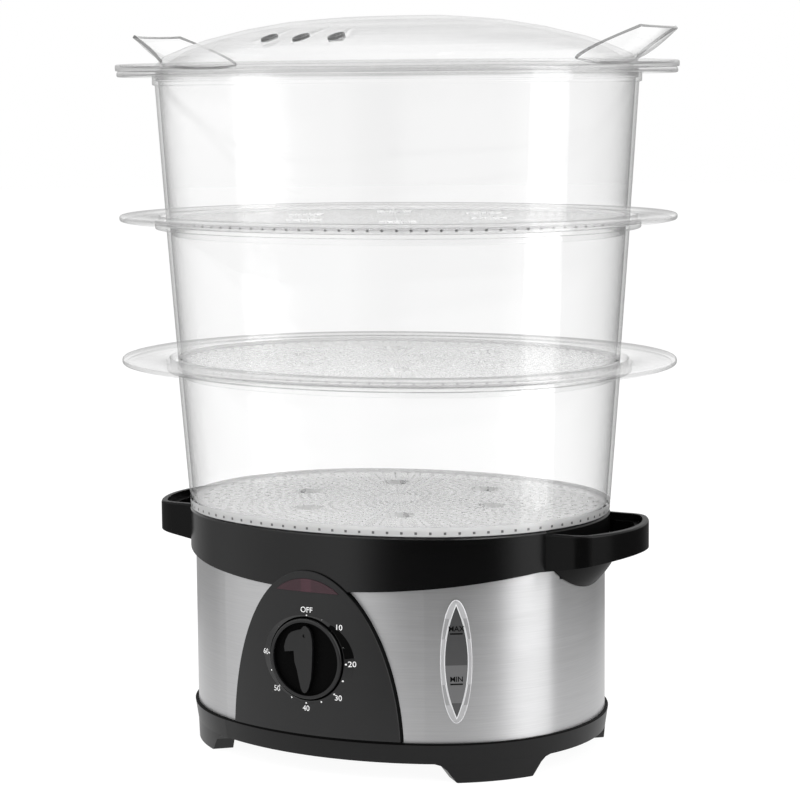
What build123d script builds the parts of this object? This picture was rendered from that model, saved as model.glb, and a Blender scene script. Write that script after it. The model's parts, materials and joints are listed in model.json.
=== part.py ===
from build123d import *
from math import atan2, cos, degrees, hypot, radians, sin
import os

# Electric food steamer: an oval base with a water tank and a heater, a timer on its
# front, and a drip tray, three stacked clear baskets and a clear lid that lift off.
# Millimetres, +Z up, origin on the resting surface at the centre of the oval.
# X runs from handle to handle, and the timer faces -Y.

# ---- the oval that every ring of the steamer shares: four tangent arcs ----
END_CENTRE = 27.5        # arcs of the two ends are centred at +-END_CENTRE on X
SIDE_CENTRE = 65.5       # arcs of the two sides are centred at -+SIDE_CENTRE on Y
OVAL_LINK = hypot(END_CENTRE, SIDE_CENTRE)
JOIN_ANGLE = degrees(atan2(SIDE_CENTRE, END_CENTRE))

# ---- clearances ----
FIT = 0.3                # between nested pieces that lift apart
SLIP = 0.15              # between fixed pieces
RUNNING = 0.05           # radial, shaft in its hole
SKIRT_CLEARANCE = 0.8    # between a basket's skirt and the opening it hangs in

CUT_REACH = 400.0        # cutting blocks run this far past what they cut

# ---- base casing (radii are end radii of the oval, and follow the steel band's) ----
BAND_R = 96.5
BAND_T = 0.8
FRAME_LOW_Z = 11.2
FRAME_TOP_Z = 22.8
FRAME_STEP = 2.0         # frame proud of the band
FRAME_DRAFT = 1.7
FRAME_R = BAND_R + FRAME_STEP
FRAME_LOW_R = FRAME_R - FRAME_DRAFT
FRAME_WALL = 2.6
LEDGE_REACH = 16.5       # ledge in from the band's face
LEDGE_R = BAND_R - LEDGE_REACH
LEDGE_Z = 16.0
LEDGE_T = 2.5
UPSTAND_R = BAND_R - BAND_T - FIT
UPSTAND_WALL = 2.2
UPSTAND_TOP_Z = 32.0
COLLAR_STEP = 3.0        # collar proud of the band
COLLAR_R = BAND_R + COLLAR_STEP
COLLAR_WALL = 2.6
COLLAR_LIP = 4.0         # from the collar's face to its opening
COLLAR_OPENING_R = COLLAR_R - COLLAR_LIP
COLLAR_SHOULDER_Z = 123.0
COLLAR_TOP_Z = 139.0
COLLAR_CHAMFER = 1.5
COLLAR_ARCH_Z = 106.6    # lower edge at the middle of the front
COLLAR_ARCH_R = 700.0

# ---- feet ----
FOOT_ANGLE = 43.3
FOOT_LENGTH_LOW = 45.0
FOOT_LENGTH_TOP = 69.0
FOOT_DEPTH = 14.8
FOOT_INNER_R = FRAME_LOW_R - FOOT_DEPTH
FOOT_SKIN = 0.4          # foot's face behind the frame's at the floor
FOOT_SPREAD = 5.5        # foot widens by this up to its flare
FOOT_ROUND = 1.4
PAD_T = 0.3
PAD_LENGTH = 30.0
PAD_WIDTH = 9.0
PAD_SINK = 1.0

# ---- handles with the water inlets ----
HANDLE_R = 68.0
HANDLE_REACH = 27.3      # loop's tip out from the collar
HANDLE_TIP_X = END_CENTRE + COLLAR_R + HANDLE_REACH
HANDLE_CENTRE_X = HANDLE_TIP_X - HANDLE_R
HANDLE_HALF_WIDTH = 43.5
HANDLE_CORNER_R = 13.0
HANDLE_WALL = 3.6
HANDLE_LOW_Z = 122.2
HANDLE_SLOPE = 0.17      # underside falls by this towards the collar
HANDLE_TOP_Z = 137.3
HANDLE_LEDGE_W = 4.5
HANDLE_LEDGE_DROP = 4.0
HANDLE_ROUND = 1.2
POCKET_FLOOR_Z = 123.5
BOWL_CENTRE_X = 91.0     # ball-shaped bowl under the loop
BOWL_CENTRE_Z = 147.8
BOWL_R = 52.4
BOWL_HALF_HEIGHT = 60.0
BOWL_WALL = 2.2
INLET_HALF_WIDTH = 30.0
INLET_LOW_Z = 109.5
INLET_REACH = 12.0

# ---- control panel, timer and pilot lamp ----
PANEL_STEP = 4.5         # panel proud of the band
PANEL_R = BAND_R + PANEL_STEP
PANEL_T = 2.5
PANEL_HALF_WIDTH = 54.0
PANEL_BASE_Z = 15.0
PANEL_LOW_Z = 23.4
PANEL_APEX_Z = 117.4
KNOB_Z = 67.8
DISH_R = 23.9
DISH_DEPTH = 3.5
DIAL_PROUD = 0.3         # crown of the dial ring in front of the panel's face
DIAL_SPREAD = 5.3        # dial ring's slope widens by this
DIAL_FALL = 2.8          # while it falls back by this
KNOB_R = 22.9
KNOB_RIM = 2.1
KNOB_DEPTH = 4.9
KNOB_FLOOR = 2.2
KNOB_GAP = 0.8
GRIP_PROUD = 0.3         # grip in front of the knob's rim
GRIP_BLADE = ((0.7, 18.9), (2.4, 17.8), (3.7, 15.9), (4.7, 11.7), (4.9, 6.0), (4.4, -4.2), (3.8, -10.5),
              (2.3, -15.9), (0.8, -18.6), (-0.5, -19.3), (-1.8, -18.6), (-2.9, -16.7), (-4.1, -11.7),
              (-5.3, -6.3), (-6.7, -2.1), (-7.2, 4.0), (-6.0, 12.0), (-2.4, 16.7), (-0.8, 18.6))
GRIP_ARM = ((-6.0, 4.2), (-13.6, 3.1), (-13.9, 5.9), (-12.9, 9.6), (-11.0, 13.0), (-9.1, 14.6),
            (-5.6, 15.9), (-1.8, 16.9), (-1.0, 8.0))
ARM_DROP = 0.9           # arm's face behind the blade's
POINTER_X = -0.3
POINTER_Z = 13.2
POINTER_R = 1.0
SHAFT_R = 3.0
SHAFT_GRIP = 3.5
TIMER_SIZE = 46.0
TIMER_GAP = 1.5          # round the timer where it passes through the band
TIMER_DEPTH = 27.0
BELL_R = 19.0
BELL_T = 0.8
BELL_DEPTH = 7.0
BELL_STUD_R = 2.0
BELL_ROUND = 1.2
TIMER_SCREW_R = 16.0
SCREW_R = 1.5
SCREW_HEAD_R = 2.8
LENS_HALF_WIDTH = 20.0
LENS_LOW_Z = 105.6
LENS_APEX_Z = 113.0
LENS_T = 3.0
LENS_PROUD = 0.3
LAMP_R = 2.4
LAMP_LENGTH = 16.0

# ---- water tank and level window ----
TANK_GAP = 5.7           # between the band and the tank
TANK_R = BAND_R - BAND_T - TANK_GAP
TANK_WALL = 2.0
TANK_LOW_Z = 36.0
RIM_T = 2.5
BAY_SIDE_GAP = 13.0      # room beside, behind and above the timer
BAY_BACK_GAP = 7.5
BAY_TOP_GAP = 25.0
WINDOW_ANGLE = -56.8
WINDOW_Z = 69.1
WINDOW_WIDTH = 17.7
WINDOW_HEIGHT = 69.2
WINDOW_RIM = 2.6
WINDOW_PROUD = 1.0
WINDOW_FACE_T = 1.6
WINDOW_SINK = 0.9        # clear face behind the rim's
WINDOW_REACH = 8.0       # the lens shape is cut this far either side of a wall
SEAL_T = 1.2

# ---- heater in the floor of the tank ----
HEATER_HOLE_R = 29.0
HEATER_FLANGE_R = 36.0
HEATER_DOME_R = 27.0
HEATER_DOME_H = 12.0
HEATER_T = 1.2
ELEMENT_R = 18.0
ELEMENT_TUBE_R = 3.2
ELEMENT_PIN_R = 1.4
ELEMENT_PIN_LENGTH = 12.0
ELEMENT_SWEEP = 300.0
BLOCK_T = 6.0
STUD_CIRCLE_R = 32.5
STUD_R = 1.5
CLAMP_T = 2.5
CLAMP_INNER_R = 28.0
NUT_T = 2.4
NUT_R = 3.2
THERMOSTAT_R = 8.0
THERMOSTAT_H = 9.0
FUSE_R = 2.0
FUSE_LENGTH = 14.0

# ---- bottom cover, terminals, wires and cord gland ----
COVER_T = 2.4
COVER_GAP = 1.2
COVER_R = FRAME_LOW_R - FRAME_WALL - COVER_GAP
COVER_VENT_LENGTH = 26.0
COVER_VENT_WIDTH = 3.0
COVER_VENT_PITCH = 7.2
COVER_VENT_COUNT = 5
COVER_VENT_X = 30.0
BOSS_R = 4.0
BOSS_TOP_Z = 28.0
BOSS_ANGLE = 18.5        # either side of Y, seen from the far side arc's centre
TERMINAL = (34.0, 14.0, 12.0)
TERMINAL_X = -30.0
TERMINAL_Y = 60.0
TERMINAL_WELL_R = 2.2
TERMINAL_WELL_DEPTH = 4.0
WIRE_R = 1.2
WIRE_BEND = 4.0
WIRE_RISE = 5.0          # above the ledge that the cover closes
WIRE_STUB = 14.0         # straight run out of the terminals
WIRE_BACK_Y = 20.0
WIRE_SIDE_X = 60.0
WIRE_SIDE_Y = 50.0
WIRE_TIMER_X = 14.0
WIRE_TIMER_DEPTH = 6.0   # in from the back of the timer
GLAND_Z = 44.0
GLAND_R = 6.0
GLAND_BORE_R = 3.6
GLAND_FLANGE_R = 8.5
GLAND_FLANGE_T = 1.8

# ---- steam ring and drip tray ----
STEAM_RING_R = 42.0
STEAM_RING_WALL = 2.0
STEAM_RING_TOP_Z = 98.0
STEAM_RING_FLANGE_R = 47.0
STEAM_RING_FLANGE_RISE = 30.0
STEAM_RING_FLANGE_T = 2.0
STEAM_NOTCH = 9.0
STEAM_NOTCH_COUNT = 6
TRAY_GAP = 0.9           # inside the collar's opening
TRAY_R = COLLAR_OPENING_R - TRAY_GAP
TRAY_BOWL_GAP = 3.0      # inside the tank's wall
TRAY_BOWL_R = TANK_R - TANK_WALL - TRAY_BOWL_GAP
TRAY_DEPTH = 7.0
TRAY_WALL = 1.8
CHIMNEY_R = 20.0
CHIMNEY_X = 34.0
CHIMNEY_H = 10.0

# ---- baskets ----
TIER_PITCH = 83.0
BASKET_WALL = 2.0
BASKET_TOP_R = (105.3, 110.5, 115.7)
FOOT_INSET = (0.3, 0.5, 0.1)        # each foot in from the rim that it stands on
RING_STEP = (6.6, 6.6, 1.6)
LEDGE_DROP = 6.0         # seat of the next basket, below the flange's top
FLANGE_R = 137.7
FLANGE_T = 2.2
FLANGE_EDGE_H = 3.4
FLANGE_EDGE_W = 3.0
FLOOR_RISE = 4.0
FLOOR_T = 1.8
SKIRT_WALL = 1.6
SKIRT_DROP = 6.0
EGG_CIRCLE_R = 61.0
EGG_CUP_R = 9.0
EGG_CUP_LOW_R = 5.4
EGG_CUP_WALL = 1.1
EGG_CUP_DEPTH = 5.0
EGG_CUP_COUNT = 6
SLOT_WIDTH = 1.8
SLOT_LENGTH = 7.0
SLOT_RING_R = (14.0, 27.0, 40.0)
SLOT_RING_COUNT = (12, 18, 24)
EDGE_SLOT_COUNT = 36
EDGE_SLOT_INSET = 12.0

# ---- lid ----
LID_OVERHANG = 0.8       # past the top basket's flange
LID_FLANGE_R = FLANGE_R + LID_OVERHANG
LID_T = 2.2
LID_DOME = ((116.0, 2.2), (111.0, 8.0), (98.0, 13.4), (86.0, 17.6),
            (62.5, 23.4), (38.0, 27.6), (14.0, 29.6))
LID_LIP_DROP = 4.0
VENT_SPACING = 21.5
VENT_LENGTH = 10.0
VENT_WIDTH = 5.0
VENT_Y = -95.0
WING_OVERHANG = 4.5      # past the tip of the lid's flange
WING_LENGTH = 30.5
WING_TIP_X = END_CENTRE + LID_FLANGE_R + WING_OVERHANG
WING_ROOT_X = WING_TIP_X - WING_LENGTH
WING_RISE = 21.5
WING_HALF_WIDTH = 41.0
WING_T = 2.4


def oval(end_radius, z=0.0):
    """Flat face of the shared oval, offset so that its end arcs have end_radius."""
    side_radius = end_radius + OVAL_LINK
    ends, sides = 2 * JOIN_ANGLE, 180 - 2 * JOIN_ANGLE
    edges = [
        CenterArc((END_CENTRE, 0, z), end_radius, -JOIN_ANGLE, ends),
        CenterArc((0, -SIDE_CENTRE, z), side_radius, JOIN_ANGLE, sides),
        CenterArc((-END_CENTRE, 0, z), end_radius, 180 - JOIN_ANGLE, ends),
        CenterArc((0, SIDE_CENTRE, z), side_radius, 180 + JOIN_ANGLE, sides),
    ]
    return Face(Wire(edges))


def prism(end_radius, low, high, top_radius=None):
    """Solid oval block, tapered when top_radius differs."""
    if top_radius is None:
        return extrude(oval(end_radius, low), amount=high - low, dir=(0, 0, 1))
    return loft([oval(end_radius, low), oval(top_radius, high)], ruled=True)


def tube(outer, inner, low, high):
    return prism(outer, low, high) - prism(inner, low, high)


def depth_y(end_radius):
    """Half depth of the oval on Y."""
    return end_radius + OVAL_LINK - SIDE_CENTRE


def rod(radius, low, high, x=0.0, y=0.0):
    return Pos(x, y, (low + high) / 2) * Cylinder(radius, high - low)


def bar_y(radius, front, back, x=0.0, z=0.0):
    """Cylinder along Y from front to back."""
    return Pos(x, (front + back) / 2, z) * Rot(90, 0, 0) * Cylinder(radius, back - front)


def block(x0, x1, y0, y1, z0, z1):
    centre = ((x0 + x1) / 2, (y0 + y1) / 2, (z0 + z1) / 2)
    return Pos(*centre) * Box(x1 - x0, y1 - y0, z1 - z0)


def both_ends(solid):
    return [solid, mirror(solid, about=Plane.YZ)]


def on_circle(shape, radius, count, start=0.0):
    """Copies of a shape modelled at the origin, spread round the Z axis."""
    step = 360 / count
    return [Rot(0, 0, start + i * step) * Pos(radius, 0, 0) * shape for i in range(count)]


def boss_places():
    """Four points on the frame's ledge, clear of the feet."""
    reach = (LEDGE_R + COVER_R) / 2 + OVAL_LINK
    x = reach * sin(radians(BOSS_ANGLE))
    y = reach * cos(radians(BOSS_ANGLE)) - SIDE_CENTRE
    return [(sx * x, sy * y) for sx in (-1, 1) for sy in (-1, 1)]


def save(shape, name):
    export_step(shape, f"parts/{name}.step")


# ---- base frame, feet and cover ----
def foot_place(index):
    """Frame of a foot: X radial out from the end arc's centre, Y along the oval."""
    angle = (FOOT_ANGLE, 180 - FOOT_ANGLE, 180 + FOOT_ANGLE, 360 - FOOT_ANGLE)[index]
    side = END_CENTRE if cos(radians(angle)) > 0 else -END_CENTRE
    return Pos(side, 0, 0) * Rot(0, 0, angle)


def foot(index):
    low, top = FOOT_LENGTH_LOW / 2, FOOT_LENGTH_TOP / 2
    side = [(low, PAD_T), (low + FOOT_SPREAD, FRAME_LOW_Z - 3.5), (low + FOOT_SPREAD + 3, FRAME_LOW_Z - 1),
            (top, FRAME_LOW_Z), (top, FRAME_LOW_Z + 1)]
    outline = Polygon(*side, *[(-y, z) for y, z in reversed(side)], align=None)
    outline = fillet(outline.vertices().group_by(Axis.Y)[0], FOOT_ROUND)
    wedge = Pos(FOOT_INNER_R, 0, 0) * extrude(Plane.YZ * outline, amount=FRAME_R - FOOT_INNER_R, dir=(1, 0, 0))
    return foot_place(index) * wedge


def pad_block(index, low, high, grow=0.0):
    middle_r = (FOOT_INNER_R + FRAME_LOW_R) / 2
    size = (PAD_WIDTH + 2 * grow, PAD_LENGTH + 2 * grow, high - low)
    return foot_place(index) * Pos(middle_r, 0, (low + high) / 2) * Box(*size)


def base_frame():
    taper = prism(FRAME_LOW_R, FRAME_LOW_Z, FRAME_TOP_Z, FRAME_R)
    hollow = prism(FRAME_LOW_R - FRAME_WALL, FRAME_LOW_Z, FRAME_TOP_Z)
    ledge = tube(FRAME_LOW_R - FRAME_WALL, LEDGE_R, LEDGE_Z, LEDGE_Z + LEDGE_T)
    upstand = tube(UPSTAND_R, UPSTAND_R - UPSTAND_WALL, LEDGE_Z, UPSTAND_TOP_Z)
    seat = tube(UPSTAND_R, LEDGE_R, LEDGE_Z, LEDGE_Z + LEDGE_T)
    frame = taper - hollow + ledge + upstand + seat
    skin = prism(FRAME_LOW_R - FOOT_SKIN, PAD_T, FRAME_LOW_Z + 1, FRAME_LOW_R)
    feet = [foot(i) & skin for i in range(4)]
    for piece in feet:
        frame += piece - prism(COVER_R + FIT, FRAME_LOW_Z, FRAME_TOP_Z)
    for x, y in boss_places():
        frame += rod(BOSS_R, LEDGE_Z, BOSS_TOP_Z, x, y)
        frame -= rod(SCREW_R, LEDGE_Z, BOSS_TOP_Z - 2, x, y)
    for i in range(4):
        frame -= pad_block(i, 0, PAD_T + PAD_SINK, SLIP)
    return frame


def foot_pads():
    return Compound(children=[pad_block(i, 0, PAD_T + PAD_SINK) for i in range(4)])


def bottom_cover():
    cover = prism(COVER_R, LEDGE_Z - COVER_T, LEDGE_Z)
    span = COVER_VENT_PITCH * (COVER_VENT_COUNT - 1) / 2
    vent = Pos(0, 0, LEDGE_Z - COVER_T / 2) * Box(COVER_VENT_WIDTH, COVER_VENT_LENGTH, COVER_T)
    for side in (-1, 1):
        for i in range(COVER_VENT_COUNT):
            cover -= Pos(side * COVER_VENT_X + i * COVER_VENT_PITCH - span, 0) * vent
    for x, y in boss_places():
        cover -= rod(SCREW_R + SLIP, LEDGE_Z - COVER_T, LEDGE_Z, x, y)
    return cover


def screw(head_low, tip, x, y):
    return rod(SCREW_HEAD_R, head_low - 1.2, head_low, x, y) + rod(SCREW_R, head_low, tip, x, y)


def bottom_screws():
    tip = BOSS_TOP_Z - 3
    return Compound(children=[screw(LEDGE_Z - COVER_T, tip, x, y) for x, y in boss_places()])


# ---- steel band and the cut-outs that pass through it ----
def window_place():
    """Frame of the level window: X along its outward normal."""
    return Pos(END_CENTRE, 0, WINDOW_Z) * Rot(0, 0, WINDOW_ANGLE)


def lens_prism(width, height, inner, outer):
    """Pointed lens of two arcs, extruded along the window's normal."""
    low, top = (0, -height / 2), (0, height / 2)
    arcs = [ThreePointArc(low, (width / 2, 0), top), ThreePointArc(top, (-width / 2, 0), low)]
    face = Plane.YZ * Face(Wire(arcs))
    return window_place() * Pos(inner, 0, 0) * extrude(face, amount=outer - inner, dir=(1, 0, 0))


def inlet_gap():
    """Passage for the water from both handle bowls through the casing walls."""
    inner, outer = END_CENTRE + TANK_R - INLET_REACH, END_CENTRE + BAND_R + INLET_REACH
    gap = block(inner, outer, -INLET_HALF_WIDTH, INLET_HALF_WIDTH, INLET_LOW_Z, COLLAR_SHOULDER_Z)
    return both_ends(gap)


def timer_gap():
    half = TIMER_SIZE / 2 + TIMER_GAP
    return block(-half, half, -CUT_REACH, bay_y(), KNOB_Z - half, KNOB_Z + half)


def lamp_y():
    return -depth_y(PANEL_R - LENS_T) + LAMP_R


def lamp_gap():
    reach = LAMP_LENGTH / 2 + SLIP
    high = LAMP_R + SLIP
    return block(-reach, reach, lamp_y() - LAMP_R - 1, lamp_y() + LAMP_R + 3,
                 lamp_z() - high, lamp_z() + high)


def lamp_z():
    return (LENS_LOW_Z + LENS_APEX_Z) / 2


def gland_bar(radius, low_r, high_r):
    return bar_y(radius, depth_y(low_r), depth_y(high_r), 0, GLAND_Z)


def steel_band():
    band = tube(BAND_R, BAND_R - BAND_T, FRAME_TOP_Z, COLLAR_SHOULDER_Z)
    band -= lens_prism(WINDOW_WIDTH + 2 * SLIP, WINDOW_HEIGHT + 4 * SLIP, TANK_R, BAND_R + 5)
    band -= timer_gap()
    band -= bar_y(DISH_R + PANEL_T + SLIP, -CUT_REACH, bay_y(), 0, KNOB_Z)
    band -= lamp_gap()
    band -= gland_bar(GLAND_R, BAND_R - 5, BAND_R + 5)
    for gap in inlet_gap():
        band -= gap
    return band


# ---- collar with handles and water inlets ----
def inlet_bowl(shrink=0.0):
    """Ball that the bowl under a handle is cut from."""
    ball = Ellipse(BOWL_R - shrink, BOWL_HALF_HEIGHT - shrink)
    half = ball & Pos(BOWL_R, 0) * Rectangle(2 * BOWL_R, 4 * BOWL_R)
    return Pos(BOWL_CENTRE_X, 0, BOWL_CENTRE_Z) * revolve(Plane.XZ * half, axis=Axis.Z)


def handle_block(shrink, low, high):
    """Outline of a handle: a round tip between two flat sides, with round corners."""
    half, tip = HANDLE_HALF_WIDTH - shrink, HANDLE_TIP_X - shrink
    solid = rod(HANDLE_R - shrink, low, high, HANDLE_CENTRE_X)
    solid &= block(HANDLE_CENTRE_X, tip + 1, -half, half, low, high)
    corners = solid.edges().filter_by(Axis.Z).group_by(Axis.X)[-1]
    return fillet(corners, HANDLE_CORNER_R - shrink)


def handle_underside():
    """What lies below the handle's sloping underside."""
    fall = HANDLE_SLOPE * (HANDLE_TIP_X - HANDLE_CENTRE_X)
    low = HANDLE_LOW_Z - fall
    outline = Polygon((HANDLE_CENTRE_X - 1, low - 30), (HANDLE_TIP_X + 1, low - 30),
                      (HANDLE_TIP_X + 1, HANDLE_LOW_Z + HANDLE_SLOPE), (HANDLE_CENTRE_X - 1, low), align=None)
    return extrude(Plane.XZ * outline, amount=CUT_REACH, both=True)


def handle():
    inside = prism(COLLAR_R - COLLAR_WALL, BOWL_CENTRE_Z - BOWL_HALF_HEIGHT - 1, HANDLE_TOP_Z + 1)
    loop = handle_block(0, HANDLE_LOW_Z - 20, HANDLE_TOP_Z) - handle_underside()
    loop = fillet(loop.edges().group_by(Axis.Z)[-1], HANDLE_ROUND)
    bowl = inlet_bowl() & block(0, CUT_REACH, -CUT_REACH, CUT_REACH, 0, POCKET_FLOOR_Z)
    solid = (loop + bowl) - inside
    solid -= handle_block(HANDLE_WALL, HANDLE_TOP_Z - HANDLE_LEDGE_DROP, HANDLE_TOP_Z + 1)
    solid -= handle_block(HANDLE_WALL + HANDLE_LEDGE_W, POCKET_FLOOR_Z, HANDLE_TOP_Z + 1)
    solid -= inlet_bowl(BOWL_WALL)
    return solid


def top_collar():
    body = prism(COLLAR_R, COLLAR_ARCH_Z - 1, COLLAR_TOP_Z)
    body = chamfer(body.edges().group_by(Axis.Z)[-1], COLLAR_CHAMFER)
    valley = bar_y(COLLAR_ARCH_R, -CUT_REACH, CUT_REACH, 0, COLLAR_ARCH_Z + COLLAR_ARCH_R)
    body = body & valley
    body -= prism(COLLAR_R - COLLAR_WALL, 0, COLLAR_SHOULDER_Z)
    body -= prism(COLLAR_OPENING_R, 0, COLLAR_TOP_Z + 1)
    for cup in both_ends(handle()):
        body += cup
    for bowl in both_ends(inlet_bowl(BOWL_WALL)):
        body -= bowl & block(-CUT_REACH, CUT_REACH, -CUT_REACH, CUT_REACH, 0, COLLAR_SHOULDER_Z)
    body -= lamp_gap()
    return body


# ---- control panel ----
def arch_prism(shrink=0.0):
    """Upright arch of the panel, as a solid in front of the casing."""
    rise = PANEL_APEX_Z - PANEL_BASE_Z
    face = Plane.XZ * Pos(0, PANEL_BASE_Z) * Ellipse(PANEL_HALF_WIDTH - shrink, rise - shrink)
    solid = extrude(face, amount=2 * PANEL_R, dir=(0, -1, 0))
    return solid & block(-CUT_REACH, CUT_REACH, -CUT_REACH, 0, PANEL_LOW_Z, CUT_REACH)


def lens_outline(grow=0.0):
    low, high = LENS_LOW_Z - grow, LENS_APEX_Z + grow
    half = LENS_HALF_WIDTH + 3 * grow
    top = ThreePointArc((-half, low), (0, high), (half, low))
    return Plane.XZ * Face(Wire([top, Line((half, low), (-half, low))]))


def lens_solid(grow=0.0):
    return extrude(lens_outline(grow), amount=2 * PANEL_R, dir=(0, -1, 0))


def dish_floor_y():
    return -depth_y(PANEL_R) + DISH_DEPTH


def timer_front_y():
    return dish_floor_y() + PANEL_T


def dial_ring():
    """Cone round the knob that runs out into the curved panel."""
    front = -depth_y(PANEL_R) - DIAL_PROUD
    back = front + 2 * DIAL_FALL
    cone = Cone(DISH_R + 2 * DIAL_SPREAD, DISH_R, back - front)
    ring = Pos(0, (front + back) / 2, KNOB_Z) * Rot(90, 0, 0) * cone
    return ring - prism(PANEL_R - PANEL_T / 2, 0, COLLAR_TOP_Z)


def control_panel():
    shell = arch_prism() & prism(PANEL_R, 0, COLLAR_TOP_Z)
    shell -= prism(PANEL_R - PANEL_T, 0, COLLAR_TOP_Z) & arch_prism(PANEL_T)
    shell -= prism(BAND_R, 0, COLLAR_TOP_Z)
    shell -= prism(COLLAR_R, COLLAR_ARCH_Z - 1, COLLAR_TOP_Z)
    face_y = -depth_y(PANEL_R)
    cup = bar_y(DISH_R + PANEL_T, face_y + PANEL_T / 5, timer_front_y(), 0, KNOB_Z)
    shell += cup & prism(PANEL_R, 0, COLLAR_TOP_Z)
    shell += dial_ring()
    shell -= bar_y(DISH_R, face_y - 5, dish_floor_y(), 0, KNOB_Z)
    shell -= bar_y(SHAFT_R + RUNNING, face_y, timer_front_y(), 0, KNOB_Z)
    for x in (-TIMER_SCREW_R, TIMER_SCREW_R):
        shell -= bar_y(SCREW_R + SLIP, dish_floor_y(), timer_front_y(), x, KNOB_Z)
    return shell - lens_solid(SLIP)


def pilot_lens():
    lens = lens_solid() & tube(PANEL_R + LENS_PROUD, PANEL_R - LENS_T, 0, COLLAR_TOP_Z)
    return lens - prism(COLLAR_R, 0, COLLAR_TOP_Z)


def neon_lamp():
    body = Pos(0, lamp_y(), lamp_z()) * Rot(0, 90, 0) * Cylinder(LAMP_R, LAMP_LENGTH)
    return fillet(body.edges(), 0.8)


# ---- timer ----
def timer_body():
    half = TIMER_SIZE / 2
    front = timer_front_y()
    body = block(-half, half, front, front + TIMER_DEPTH, KNOB_Z - half, KNOB_Z + half)
    body = chamfer(body.edges().filter_by(Axis.Y), 4.0)
    body -= bar_y(SHAFT_R + RUNNING, front - 1, front + TIMER_DEPTH / 2, 0, KNOB_Z)
    for x in (-TIMER_SCREW_R, TIMER_SCREW_R):
        body -= bar_y(SCREW_R, front, front + 6, x, KNOB_Z)
    return body


def timer_bell():
    back = timer_front_y() + TIMER_DEPTH
    cup = bar_y(BELL_R, back, back + BELL_DEPTH, 0, KNOB_Z)
    cup = fillet(cup.edges().group_by(Axis.Y)[-1], BELL_ROUND)
    inner = bar_y(BELL_R - BELL_T, back - 1, back + BELL_DEPTH - BELL_T, 0, KNOB_Z)
    return cup - inner + bar_y(BELL_STUD_R, back, back + BELL_DEPTH - BELL_T / 2, 0, KNOB_Z)


def timer_screws():
    solids = []
    for x in (-TIMER_SCREW_R, TIMER_SCREW_R):
        head = bar_y(SCREW_HEAD_R, dish_floor_y() - 0.6, dish_floor_y(), x, KNOB_Z)
        solids.append(head + bar_y(SCREW_R, dish_floor_y(), timer_front_y() + 5, x, KNOB_Z))
    return Compound(children=solids)


def knob_back_y():
    return dish_floor_y() - KNOB_GAP


def timer_shaft():
    return bar_y(SHAFT_R, knob_back_y() - SHAFT_GRIP, timer_front_y() + TIMER_DEPTH / 2 - 1, 0, KNOB_Z)


def timer_knob():
    back = knob_back_y()
    body = bar_y(KNOB_R, back - KNOB_DEPTH, back, 0, KNOB_Z)
    body = fillet(body.edges().group_by(Axis.Y)[0], 1.0)
    body -= bar_y(KNOB_R - KNOB_RIM, back - KNOB_DEPTH - 1, back - KNOB_FLOOR, 0, KNOB_Z)
    seat = Plane((0, back - 1, KNOB_Z), x_dir=(1, 0, 0), z_dir=(0, -1, 0))
    height = KNOB_DEPTH - 1 + GRIP_PROUD
    body += extrude(seat * Polygon(*GRIP_BLADE, align=None), amount=height, dir=(0, -1, 0))
    body += extrude(seat * Polygon(*GRIP_ARM, align=None), amount=height - ARM_DROP, dir=(0, -1, 0))
    face_y = back - 1 - height
    body -= bar_y(POINTER_R, face_y - 1, face_y + 0.7, POINTER_X, KNOB_Z + POINTER_Z)
    return body - bar_y(SHAFT_R, back - SHAFT_GRIP, back + 1, 0, KNOB_Z)


# ---- water tank and level window ----
def bay_y():
    return timer_front_y() + TIMER_DEPTH + BELL_DEPTH + BAY_BACK_GAP


def bay(grow=0.0):
    """Room in the front of the tank for the timer."""
    half = TIMER_SIZE / 2 + BAY_SIDE_GAP + grow
    top = KNOB_Z + TIMER_SIZE / 2 + BAY_TOP_GAP + grow
    return block(-half, half, -CUT_REACH, bay_y() + grow, 0, top)


def water_tank():
    outer = prism(TANK_R, TANK_LOW_Z, COLLAR_SHOULDER_Z) - bay()
    inner = prism(TANK_R - TANK_WALL, TANK_LOW_Z + TANK_WALL, COLLAR_SHOULDER_Z + RIM_T + 1)
    tank = outer + tube(COLLAR_OPENING_R, TANK_R - TANK_WALL, COLLAR_SHOULDER_Z, COLLAR_SHOULDER_Z + RIM_T)
    tank -= inner - bay(TANK_WALL)
    tank -= rod(HEATER_HOLE_R, TANK_LOW_Z - 1, TANK_LOW_Z + TANK_WALL + 1)
    for stud in on_circle(rod(STUD_R + SLIP, 0, 60), STUD_CIRCLE_R, 3, 90):
        tank -= stud
    inner_width, inner_height = WINDOW_WIDTH - 2 * WINDOW_RIM, WINDOW_HEIGHT - 3 * WINDOW_RIM
    tank -= lens_prism(inner_width, inner_height, TANK_R - WINDOW_REACH, TANK_R + WINDOW_REACH)
    for gap in inlet_gap():
        tank -= gap
    return tank


def level_window_seal():
    width, height = WINDOW_WIDTH, WINDOW_HEIGHT
    skin = tube(TANK_R + SEAL_T, TANK_R, FRAME_TOP_Z, COLLAR_TOP_Z)
    ring = lens_prism(width, height, TANK_R - WINDOW_REACH, BAND_R) & skin
    return ring - lens_prism(width - 2 * WINDOW_RIM, height - 3 * WINDOW_RIM, TANK_R - WINDOW_REACH, BAND_R)


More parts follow.
